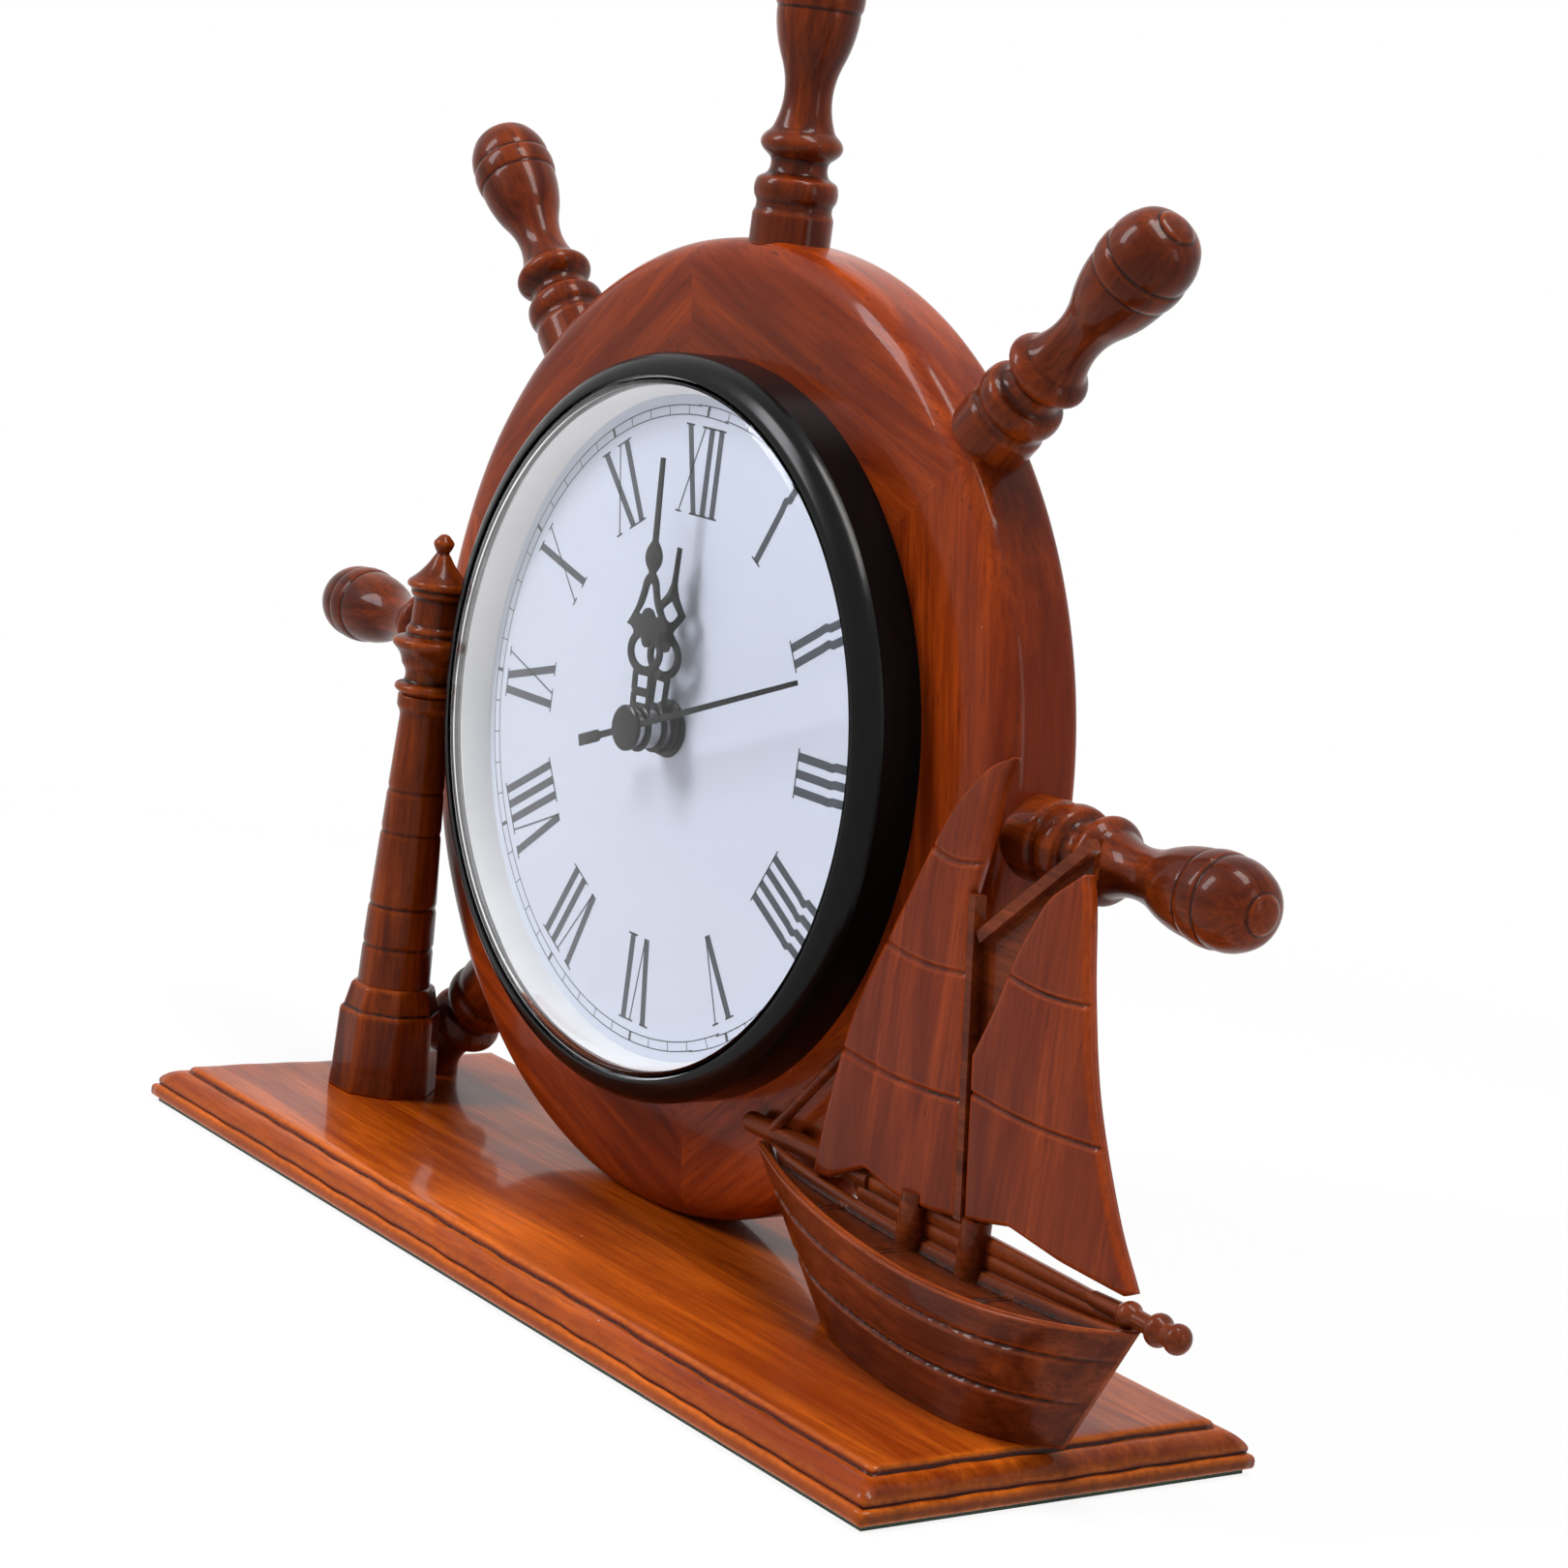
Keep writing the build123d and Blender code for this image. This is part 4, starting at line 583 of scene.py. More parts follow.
def places_round_wheel(tree, count, radius, centre):
    """Numbered points, clockwise from 12 o'clock, and the turn that makes what stands there lean outwards"""
    number = add(tree, "GeometryNodeInputIndex").outputs[0]
    turn = maths(tree, "MULTIPLY", number, maths(tree, "DIVIDE", 2 * pi, count))
    across, up = maths(tree, "SINE", turn), maths(tree, "COSINE", turn)
    way = add(tree, "ShaderNodeCombineXYZ", {"X": across, "Z": up})
    reach = add(tree, "ShaderNodeVectorMath", {0: way.outputs[0], "Scale": radius}, operation="SCALE")
    place = vectors(tree, "ADD", reach.outputs[0], centre)
    points = add(tree, "GeometryNodePoints", {"Count": count, "Position": place, "Radius": 0.001})
    lean = add(tree, "ShaderNodeCombineXYZ", {"Y": turn})
    facing = add(tree, "FunctionNodeEulerToRotation", {0: lean.outputs[0]})
    return number, points.outputs[0], facing.outputs[0]


def end_tree(tree, placed, material):
    """End a geometry tree with plain faces in a material"""
    solid = add(tree, "GeometryNodeRealizeInstances", {0: placed})
    dressed = add(tree, "GeometryNodeSetMaterial", {"Geometry": solid.outputs[0], "Material": material})
    add(tree, "NodeGroupOutput", {0: dressed.outputs[0]})
    return tree


def grown(name, source, tree, values):
    """Run a geometry tree on a mesh and keep what it makes as a plain mesh"""
    holder = bpy.data.objects.new(name + "_source", source)
    bpy.context.scene.collection.objects.link(holder)
    modifier = holder.modifiers.new("build", "NODES")
    modifier.node_group = tree
    sockets = {item.name: item.identifier for item in tree.interface.items_tree if item.in_out == "INPUT"}
    for key, value in values.items():
        modifier[sockets[key]] = value
    holder.update_tag()
    ready = holder.evaluated_get(bpy.context.evaluated_depsgraph_get())
    mesh = bpy.data.meshes.new_from_object(ready, preserve_all_data_layers=True,
                                           depsgraph=bpy.context.evaluated_depsgraph_get())
    mesh.name = name
    bpy.data.objects.remove(holder)
    return mesh


def spoke_tree(material):
    """Geometry tree: one handle, set at every eighth of the rim but the one left out"""
    tree, given = new_tree("spokes_round_rim", {
        "Wheel centre": ("Vector", (0, 0, 0)), "Rim radius": ("Float", 0.08),
        "Places": ("Int", 8), "Left out": ("Int", 4),
    })
    own = add(tree, "GeometryNodeInputPosition").outputs[0]
    marked = add(tree, "GeometryNodeStoreNamedAttribute", {
        "Geometry": given["Geometry"], "Name": "spoke_grain", "Value": own,
    }, data_type="FLOAT_VECTOR", domain="POINT")
    number, points, facing = places_round_wheel(
        tree, given["Places"], given["Rim radius"], given["Wheel centre"])
    wanted = add(tree, "FunctionNodeCompare", {2: number, 3: given["Left out"]}, data_type="INT",
                 operation="NOT_EQUAL").outputs[0]
    placed = add(tree, "GeometryNodeInstanceOnPoints", {
        "Points": points, "Selection": wanted, "Instance": marked.outputs[0], "Rotation": facing,
    })
    counted = add(tree, "GeometryNodeStoreNamedAttribute", {
        "Geometry": placed.outputs[0], "Name": "spoke_number",
        "Value": add(tree, "GeometryNodeInputIndex").outputs[0],
    }, data_type="FLOAT", domain="INSTANCE")
    return end_tree(tree, counted.outputs[0], material)


spoke_wood = lacquered_wood("spoke_wood", colour(56, 13, 2), colour(104, 36, 8), colour(150, 62, 14),
                            grain="Z", attribute="spoke_grain", number="spoke_number", hollow_stain_and_shade=0.9, dust=0.3)
handle = turned_piece("spoke_handle", turned_profile(spoke_rows, spoke_radius, spoke_reach))
spoke_mesh = grown("wheel_spokes", handle, spoke_tree(spoke_wood), {
    "Wheel centre": (wheel_centre.x, spoke_setback, wheel_centre.z),
    "Rim radius": wheel_radius,
    "Places": 8,
    "Left out": 4,
})
trimmed = bmesh.new()
trimmed.from_mesh(spoke_mesh)
bmesh.ops.bisect_plane(trimmed, geom=trimmed.verts[:] + trimmed.edges[:] + trimmed.faces[:],
                       plane_co=(0, 0, plinth_top), plane_no=(0, 0, 1), clear_inner=True)
bmesh.ops.holes_fill(trimmed, edges=[e for e in trimmed.edges if e.is_boundary])
trimmed.to_mesh(spoke_mesh)
trimmed.free()
finished_piece("wheel_spokes", spoke_mesh, spoke_wood, replaced=(
    "spoke_12", "spoke_0130", "spoke_03", "spoke_0430", "spoke_0730", "spoke_09", "spoke_1030"))


# Lighthouse: an eight-sided foot, a tapered tower with scored lines and a turned lantern under a
# pointed roof with a ball. The three are pegged and glued on top of each other.

lighthouse_place = Vector((-0.0902, -0.0030, 0.0))
tower_bottom = 0.029
tower_height = 0.057
tower_radius = 0.0071
lantern_height = 0.0315
lantern_radius = 0.0077
tower_rows = (
    (-0.01, 1.0), (0.125, 0.97), (0.135, 0.92), (0.145, 0.965), (0.265, 0.93), (0.275, 0.87), (0.285, 0.915),
    (0.52, 0.83), (0.53, 0.78), (0.54, 0.82), (0.665, 0.78), (0.675, 0.73), (0.685, 0.77), (0.93, 0.67),
    (0.96, 0.78, -0.1), (1.0, 0.78),
)
lantern_rows = (
    (0.0, 0.62), (0.02, 0.74), (0.07, 0.80, 0.35), (0.085, 0.62), (0.19, 0.72, -0.16), (0.30, 0.98, -0.12),
    (0.345, 1.0, 0.10), (0.36, 0.86), (0.375, 0.66), (0.42, 0.68, 0.2), (0.435, 0.60), (0.60, 0.58),
    (0.615, 0.66), (0.655, 0.66, 0.2), (0.67, 0.80), (0.70, 0.80), (0.87, 0.20, -0.06), (0.885, 0.13),
    (0.91, 0.21, 0.2), (0.975, 0.16, 0.3), (1.0, 0.0, 0.15),
)
tower_wood = lacquered_wood("tower_wood", colour(64, 17, 1), colour(110, 40, 4), colour(150, 66, 12),
                            grain="Z", hollow_stain_and_shade=0.9, dust=0.2)
for part, rows, radius, length, bottom in (
    ("tower", tower_rows, tower_radius, tower_height, tower_bottom),
    ("lantern", lantern_rows, lantern_radius, lantern_height, tower_bottom + tower_height),
):
    profile = turned_profile(rows, radius, length, bottom)
    turned = turned_piece("lighthouse_" + part, profile, sides=56, place=lighthouse_place)
    finished_piece("turned_" + part, turned, tower_wood, replaced=("lighthouse_" + part,))

foot_rows = (
    (0.0, 0.0098), (0.0004, 0.0099), (0.0040, 0.00965), (0.0090, 0.00950), (0.0150, 0.00933),
    (0.0156, 0.00924), (0.0159, 0.00905), (0.0160, 0.00880), (0.0162, 0.00862), (0.0166, 0.00858),
    (0.0203, 0.00776), (0.0207, 0.00758), (0.0210, 0.00725), (0.0210, 0.0040),
)
foot_sides = 160
foot_corner = 1.064
face_steps = 12
shortest_face = 0.001


def eight_sided(rows):
    """Rings of an eight-sided foot with eased corners, from rows of (height, half width)"""
    rings = []
    for (low, low_half), (high, high_half) in zip(rows, rows[1:] + rows[-1:]):
        for share in [index / face_steps for index in range(face_steps if high - low > shortest_face else 1)]:
            half_width = low_half + (high_half - low_half) * share
            ring = []
            for side in range(foot_sides):
                turn = 2 * pi * side / foot_sides
                reach = min(half_width / cos((turn - pi / 8) % (pi / 4) - pi / 8), half_width * foot_corner)
                ring.append((lighthouse_place.x + reach * cos(turn), lighthouse_place.y + reach * sin(turn),
                             plinth_top + low + (high - low) * share))
            rings.append(ring)
    return rings


foot_mesh = skinned("eight_sided_foot", eight_sided(foot_rows), turned_end=0)
finished_piece("eight_sided_foot", foot_mesh, tower_wood,
               replaced=("lighthouse_foot",))


# Sailing boat: a hull carved from one block with two scored planks, a sunk deck, two posts and
# four thin boards for the mast, the sails and the panel behind them, all glued together.

hull_wood = lacquered_wood("hull_wood", colour(62, 18, 3), colour(108, 42, 12), colour(146, 66, 26),
                           grain="X", hollow_stain_and_shade=0.9, dust=0.5)
sail_wood = lacquered_wood("sail_wood", colour(88, 26, 4), colour(128, 46, 10), colour(152, 62, 16),
                           grain="Z", hollow_stain_and_shade=0.9, dust=0.4)

hull_side = ((0.0, 0.0), (0.14, 0.42), (0.34, 0.76), (0.60, 1.0), (0.80, 0.93), (0.93, 0.56), (1.0, 0.0))
hull_stern = (0.0520, 0.0274)
hull_bow = (0.1127, 0.1262)
hull_beam = (0.0103, 0.0124)
hull_height = 0.025
stern_flat = 0.0012
hull_back = (0.0024, 0.0006)
hull_back_fullness = 0.0050
hull_steps = 300
side_steps = 70
deck_steps = 14
far_steps = 21
hull_planks = (0.38, 0.74)
deck_battens = (0.051, 0.070, 0.0955)
deck_depth = 0.0020
gunwale_width = 0.0017
deck_inset = 0.0004
deck_crown = 0.0003
batten_half = 0.0006
batten_edge = 0.00030
batten_relief = 0.00026
gunwale_edge = ((0.0007, 0.00006), (0.0009, 0.0))
gunwale_inside = ((-0.0003, 0.00002), (-0.0001, 0.00012), (0.0, 0.0004), (0.00002, 0.0010), (0.0001, 0.0016),
                  (0.0003, 0.0019))
far_gunwale_inside = ((0.0003, 0.0019), (0.0, 0.0010), (-0.0002, 0.0001))
far_gunwale_edge = ((0.0003, 0.0), (0.0, 0.0003))
groove_depth = 0.00062
groove_width = 0.00036
groove_side = 0.021
top_rounding = 0.0005
rounding_start = 0.972
sheer_lowest = 0.0768
sheer_reach = 0.0494
sheer_height = 0.0200
sheer_rise = 0.0037
sheer_tilt = 0.0005


def smooth_line(points, steps=24):
    """Points on a flowing line through the given ones"""
    points = [np.array(point, dtype=float) for point in points]
    points = [2 * points[0] - points[1]] + points + [2 * points[-1] - points[-2]]
    line = []
    for before, low, high, after in zip(points, points[1:], points[2:], points[3:]):
        for index in range(steps):
            t = index / steps
            squared = (2 * before - 5 * low + 4 * high - after) * t ** 2
            cubed = (3 * low - before - 3 * high + after) * t ** 3
            line.append(0.5 * (2 * low + (high - before) * t + squared + cubed))
    return np.array(line + [points[-2]])


hull_plan = smooth_line(hull_side)


def hull_sides(station, level):
    """Place along, near side and far side of the hull at one station and height share"""
    stern, bow, beam = [foot + (head - foot) * level for foot, head in (hull_stern, hull_bow, hull_beam)]
    near = -np.interp(station, hull_plan[:, 0], hull_plan[:, 1]) * beam - stern_flat * (1 - station)
    far = hull_back[0] * (1 - station) + hull_back[1] * station
    far += hull_back_fullness * station * (1 - station)
    return stern + (bow - stern) * station, near, far


def sheer(along):
    """Height of the gunwale above the plinth"""
    share = (along - sheer_lowest) / sheer_reach
    return sheer_height + sheer_rise * share ** 2 - sheer_tilt * share


def plank_groove(station, share):
    """Depth of the scored lines between the planks, uneven along the hull and run out at the bow"""
    away = [(share - plank) * groove_side / groove_width for plank in hull_planks]
    groove = sum(groove_depth * np.exp(-distance ** 2) for distance in away)
    return groove * min(1.0, (1 - station) / 0.05) * (1 + 0.35 * sin(station * 130) * sin(station * 47))


def batten(along):
    """How far the two raised edges of each batten across the deck stand up, as a share"""
    edges = [place + side for place in deck_battens for side in (-batten_half, batten_half)]
    return sum(np.exp(-((along - edge) / batten_edge) ** 2) for edge in edges)


def hull_ring(station):
    """Points round the hull at one station: up the near side, over its gunwale, across the sunk deck,
    over the far gunwale and down the far side"""
    level = 0.8
    for _ in range(6):
        level = sheer(hull_sides(station, level)[0]) / hull_height
    along, near, far = hull_sides(station, level)
    wide = far - near
    top = plinth_top + hull_height * level
    rim = min(gunwale_width, 0.30 * wide)
    ends = min(1.0, min(station, 1 - station) / 0.045)
    sunk = ends * ends * (3 - 2 * ends)
    ring = []
    for row in range(side_steps + 1):
        share = row / side_steps
        x, y, _ = hull_sides(station, level * share)
        eased = top_rounding * max(0.0, (share - rounding_start) / (1 - rounding_start)) ** 2
        height = plinth_top + hull_height * level * share - eased * 0.4
        ring.append((x, y + plank_groove(station, share) + eased, height))
    for inset, drop in gunwale_edge + tuple((rim + inset, drop) for inset, drop in gunwale_inside):
        ring.append((along, near + min(inset, 0.45 * wide), top - drop * sunk))
    for column in range(deck_steps + 1):
        across = column / deck_steps
        reach = near + rim + deck_inset + (wide - 2 * (rim + deck_inset)) * across
        crown = deck_crown * sin(pi * across) + batten_relief * batten(along)
        ring.append((along, reach, top + (crown - deck_depth) * sunk))
    for inset, drop in tuple((rim + inset, drop) for inset, drop in far_gunwale_inside) + far_gunwale_edge:
        ring.append((along, far - min(inset, 0.45 * wide), top - drop * sunk))
    for row in range(far_steps - 1, -1, -1):
        x, _, y = hull_sides(station, level * row / far_steps)
        ring.append((x, y, plinth_top + hull_height * level * row / far_steps))
    return ring


hull_rings = [hull_ring(step / hull_steps) for step in range(hull_steps + 1)]
hull_mesh = skinned("carved_hull", hull_rings, turned_end=-1)
hull_hollows = hull_mesh.attributes["hollow"].data
deck_start = side_steps + 1 + len(gunwale_edge + gunwale_inside)
# The sunk deck's hollow value is raised so that it is painted darker: painted shade in the recess below the
# gunwales, and darker stain.
for number in range(hull_steps + 1):
    for column in range(deck_steps + 1):
        point = hull_hollows[number * len(hull_rings[0]) + deck_start + column]
        point.value = max(0.30, point.value + 0.22)
finished_piece("carved_hull", hull_mesh, hull_wood, replaced=("boat_hull",))

sail_front = 0.0
sail_back = 0.0024
mast_foot = (0.0810, 0.0346)
aft_sail_size = (0.0380, 0.0745)
fore_sail_size = (0.0410, 0.0605)
aft_sail_seams = (0.25, 0.52, 0.76)
fore_sail_seams = (0.34, 0.68)
aft_sail_foot = ((-1.02, -0.056), (-0.90, -0.048), (-0.66, 0.014), (-0.43, -0.016), (-0.19, -0.012),
                 (-0.021, 0.0))
aft_sail_outer = ((-1.02, -0.056), (-0.975, 0.126), (-0.88, 0.35), (-0.66, 0.60), (-0.44, 0.835),
                  (-0.24, 0.955), (-0.085, 1.0))
aft_sail_inner = ((-0.021, 0.0), (-0.216, 0.690), (-0.16, 0.82), (-0.12, 0.94), (-0.07, 1.0))
fore_sail_foot = ((0.0195, 0.0), (0.14, 0.02), (0.29, 0.042), (0.60, 0.015), (0.95, 0.004), (1.0, 0.022))
fore_sail_inner = ((0.0195, 0.0), (-0.073, 0.435), (0.02, 0.58), (0.09, 0.72), (0.17, 0.83), (0.25, 0.915),
                   (0.415, 1.0))
fore_sail_outer = ((1.0, 0.022), (0.84, 0.18), (0.65, 0.44), (0.54, 0.69), (0.47, 0.92), (0.430, 1.0))
sail_columns = 40
sail_rows = 230
seam_sag = 0.014
seam_depth = 0.00055
seam_width = 0.00034
cloth_fullness = 0.00042
sail_rounding = 0.0011
sail_rounding_drop = 0.0010


def straight_then_flowing(shares):
    """The mast side of a sail: straight up the mast, then a flowing line to the head"""
    return np.vstack((np.linspace(shares[0], shares[1], 24)[:-1], smooth_line(shares[1:])))


def sail_relief(across, height, edge, seams, tall):
    """How far the front lies behind its fullest place: each cloth is a little full, the seams between
    them are scored, and the edge is rounded over"""
    sagging = height + seam_sag * sin(pi * across)
    below = max([seam for seam in seams if seam <= sagging], default=-0.10)
    above = min([seam for seam in seams if seam > sagging], default=1.05)
    cloth = (sagging - below) / (above - below)
    full = (max(0.0, 4 * cloth * (1 - cloth)) ** 0.5) * (max(0.0, 4 * across * (1 - across)) ** 0.5)
    nearest = min(abs(sagging - seam) for seam in seams) * tall
    scored = seam_depth * np.exp(-(nearest / seam_width) ** 2) * min(1.0, edge / 0.0006 + 0.35)
    eased = max(0.0, 1 - edge / sail_rounding)
    rounded = sail_rounding_drop * (1 - (1 - eased ** 2) ** 0.5)
    return cloth_fullness - cloth_fullness * full + scored + rounded


def carved_sail(name, size, foot, low_side, high_side, seams):
    """One sail cut from thin board, between its two sides and its curved foot"""
    shape = bmesh.new()
    front, back = [], []
    foot_left, foot_right = low_side[0], high_side[0]
    for row in range(sail_rows + 1):
        up = row / sail_rows
        ends = []
        for side in (low_side, high_side):
            height = side[0][1] + (side[-1][1] - side[0][1]) * up
            ends.append((np.interp(height, side[:, 1], side[:, 0]), height))
        width = (ends[1][0] - ends[0][0]) * size[0]
        front_row, back_row = [], []
        for column in range(sail_columns + 1):
            across = 0.5 - 0.5 * cos(pi * column / sail_columns)
            x = ends[0][0] + (ends[1][0] - ends[0][0]) * across
            z = ends[0][1] + (ends[1][1] - ends[0][1]) * across
            foot_x = foot_left[0] + (foot_right[0] - foot_left[0]) * across
            foot_z = foot_left[1] + (foot_right[1] - foot_left[1]) * across
            z += (np.interp(foot_x, foot[:, 0], foot[:, 1]) - foot_z) * (1 - up) ** 7
            edge = min(across * width, (1 - across) * width, up * size[1], (1 - up) * size[1] * 0.4 + 0.0002)
            depth = sail_front + sail_relief(across, z, edge, seams, size[1])
            place = (mast_foot[0] + x * size[0], mast_foot[1] + z * size[1])
            front_row.append(shape.verts.new((place[0], depth, place[1])))
            back_row.append(shape.verts.new((place[0], sail_back, place[1])))
        front.append(front_row)
        back.append(back_row)
    for low, high, low_back, high_back in zip(front, front[1:], back, back[1:]):
        for column in range(sail_columns):
            after = column + 1
            shape.faces.new((low[column], low[after], high[after], high[column]))
            shape.faces.new((low_back[column], high_back[column], high_back[after], low_back[after]))
        for column in (0, sail_columns):
            shape.faces.new((low[column], high[column], high_back[column], low_back[column]))
    for column in range(sail_columns):
        after = column + 1
        for row in (0, sail_rows):
            shape.faces.new((front[row][column], back[row][column], back[row][after], front[row][after]))
    return closed_mesh(name, shape)


aft_sail = carved_sail("carved_aft_sail", aft_sail_size, np.array(aft_sail_foot), smooth_line(aft_sail_outer),
                       straight_then_flowing(aft_sail_inner), aft_sail_seams)
finished_piece("carved_aft_sail", aft_sail, sail_wood, replaced=("boat_aft_sail",))
fore_sail = carved_sail("carved_fore_sail", fore_sail_size, np.array(fore_sail_foot),
                        straight_then_flowing(fore_sail_inner), smooth_line(fore_sail_outer), fore_sail_seams)
finished_piece("carved_fore_sail", fore_sail, sail_wood, replaced=("boat_fore_sail",))

rail_rows = (
    (0.0, 0.0), (0.0, 0.22), (0.0004, 0.27), (0.0, 0.32), (0.0, 0.58), (0.0004, 0.63), (0.0, 0.68),
    (0.0, 0.92), (0.0003, 1.0), (0.0015, 1.0), (0.0018, 0.95), (0.0018, 0.0),
)
rail_stern = 0.0530
rail_bow = 0.1225
rail_steps = 60
rail_height = 0.0342
rail_fall = 0.0014
rail_sink = 0.0014
rail_setback = 0.0019
rail_curve = 0.0010


def rail_ring(share):
    """Points round the moulded rail at one share of its length, from rows of (back, share of height)"""
    along = rail_stern + (rail_bow - rail_stern) * share
    foot = plinth_top + sheer(along) - rail_sink
    head = rail_height - rail_fall * share
    front = rail_setback - rail_curve * share ** 2
    return [(along, front + back, foot + (head - foot) * up) for back, up in rail_rows]


rail_rings = [rail_ring(step / rail_steps) for step in range(rail_steps + 1)]
rail_mesh = skinned("moulded_rail", rail_rings, turned_end=-1)
finished_piece("moulded_rail", rail_mesh, hull_wood, replaced=("boat_rail",))
dress(["boat_boom", "boat_bowsprit", "boat_mast", "boat_back_panel", "boat_gaff", "boat_aft_post",
       "boat_fore_post", "boat_aft_spar"], hull_wood)


# Clock insert: a black plastic cup pressed into the bore with a rubber band, a moulded bezel
# snapped over the cup's flange, and a pale sloping ring between the bezel and the dial.

def moulded_plastic(name, tone, roughness, relief=0.1, specular=0.4):
    """Moulded plastic with a fine mould texture and handling marks"""
    made, tree, shader, place = new_material(name)
    fine = noise(tree, place, 900.0, 3.0)
    marks = noise(tree, place, 45.0, 4.0, 0.6)
    rubbed = [min(1.0, 1.35 * v) for v in tone[:3]] + [1.0]
    feed(tree, shader, {
        "Base Color": blended(tree, marks, tone, rubbed), "Normal": bump(tree, fine, relief, 0.00008),
        "Roughness": spread(tree, marks, 0.3, 0.7, roughness - 0.05, roughness + 0.07),
        "Specular IOR Level": specular,
    })
    return made


bezel_black = moulded_plastic("bezel_black", colour(6, 6, 7), 0.20, relief=0.03, specular=0.14)
cup_black = moulded_plastic("cup_black", colour(18, 18, 19), 0.5, relief=0.25)
ring_pale = moulded_plastic("ring_pale", colour(226, 230, 228), 0.35, relief=0.02)
rubber_black = moulded_plastic("rubber_black", colour(24, 24, 24), 0.75, relief=0.4, specular=0.3)
dress(["bezel_ring"], bezel_black)
dress(["insert_cup"], cup_black)
dress(["rubber_band", "rubber_washer"], rubber_black)
dress(["inner_ring"], ring_pale)


# Dial: a thin card printed with a minute track and slender Roman numerals whose feet point at
# the centre. It is clamped between the movement and a nut on the threaded bush.

dial_face = wheel_front - 0.0032
ink_lift = 0.00003
numeral_low = 0.0381
numeral_high = 0.0535
thick_stroke = 0.00150
thin_stroke = 0.00034
letter_widths = {"I": 0.0029, "V": 0.0056, "X": 0.0064}
hour_letters = ("I", "II", "III", "IIII", "V", "VI", "VII", "VIII", "IX", "X", "XI", "XII")
track_radii = (0.0554, 0.0571)
stroke_shift = 0.0006
stroke_meeting = 0.0004
thick_serif = 0.0026
thin_serif = 0.0018
letter_gap = 0.0012
track_steps = 240
track_half = 0.00010

dial_card, card_tree, card_shader, card_place = new_material("dial_card")
card_fibre = noise(card_tree, card_place, 1800.0, 3.0)
card_cloud = noise(card_tree, card_place, 18.0, 1.0)
feed(card_tree, card_shader, {
    "Base Color": blended(card_tree, card_cloud, colour(204, 212, 228), colour(214, 221, 235)),
    "Normal": bump(card_tree, card_fibre, 0.08, 0.00005), "Roughness": 0.5,
})
dress(["dial_plate"], dial_card)

ink, ink_tree, ink_shader, ink_place = new_material("printing_ink")
ink_spread = noise(ink_tree, ink_place, 2600.0, 2.0)
feed(ink_tree, ink_shader, {
    "Base Color": blended(ink_tree, ink_spread, colour(40, 46, 54), colour(60, 67, 76)), "Roughness": 0.45,
})


def printed(shape, corners, angle=0.0):
    """One inked patch: corners are (clockwise, outward) from the middle of the dial, for a numeral
    that stands at an angle"""
    points = []
    for across, out in corners:
        x = across * cos(angle) + out * sin(angle)
        z = -across * sin(angle) + out * cos(angle)
        points.append(shape.verts.new((wheel_centre.x + x, dial_face - ink_lift, wheel_centre.z + z)))
    shape.faces.new(points)


def letter_strokes(letter, middle):
    """Strokes of a letter, as (place at its foot, place at its head, width)"""
    reach = (letter_widths[letter] - letter_gap) / 2
    if letter == "I":
        return [(middle, middle, thick_stroke)]
    if letter == "V":
        return [(middle, middle - reach + stroke_shift / 2, thick_stroke),
                (middle + stroke_meeting, middle + reach, thin_stroke)]
    return [(middle + reach - stroke_shift, middle - reach + stroke_shift, thick_stroke),
            (middle - reach, middle + reach, thin_stroke)]


def letter_serifs(letter, middle):
    """Serifs of a letter, as (place, height, width)"""
    reach = (letter_widths[letter] - letter_gap) / 2
    if letter == "I":
        width = letter_widths[letter] * 0.98
        return [(middle, numeral_low, width), (middle, numeral_high, width)]
    if letter == "V":
        return [(middle - reach, numeral_high, thick_serif), (middle + reach, numeral_high, thin_serif)]
    return [(middle + reach - stroke_shift, numeral_low, thick_serif),
            (middle - reach, numeral_low, thin_serif),
            (middle - reach + stroke_shift, numeral_high, thick_serif),
            (middle + reach, numeral_high, thin_serif)]


printing = bmesh.new()
for hour, letters in enumerate(hour_letters, start=1):
    angle = radians(30 * hour)
    left = -sum(letter_widths[letter] for letter in letters) / 2
    for letter in letters:
        middle = left + letter_widths[letter] / 2
        for low_x, high_x, width in letter_strokes(letter, middle):
            printed(printing, [(low_x - width / 2, numeral_low), (low_x + width / 2, numeral_low),
                               (high_x + width / 2, numeral_high), (high_x - width / 2, numeral_high)], angle)
        for across, out, serif in letter_serifs(letter, middle):
            low, high = out - thin_stroke / 2, out + thin_stroke / 2
            printed(printing, [(across - serif / 2, low), (across + serif / 2, low),
                               (across + serif / 2, high), (across - serif / 2, high)], angle)
        left += letter_widths[letter]
for radius in track_radii:
    for step in range(track_steps):
        first, second = [2 * pi * count / track_steps for count in (step, step + 1)]
        corners = ((radius - track_half, first), (radius - track_half, second),
                   (radius + track_half, second), (radius + track_half, first))
        printed(printing, [(reach * sin(turn), reach * cos(turn)) for reach, turn in corners])
bmesh.ops.remove_doubles(printing, verts=printing.verts, dist=1e-7)
for face in printing.faces:
    if face.normal.y > 0:
        face.normal_flip()
numerals_mesh = bpy.data.meshes.new("printed_numerals")
printing.to_mesh(numerals_mesh)
printing.free()
finished_piece("printed_numerals", numerals_mesh, ink, flat=True)


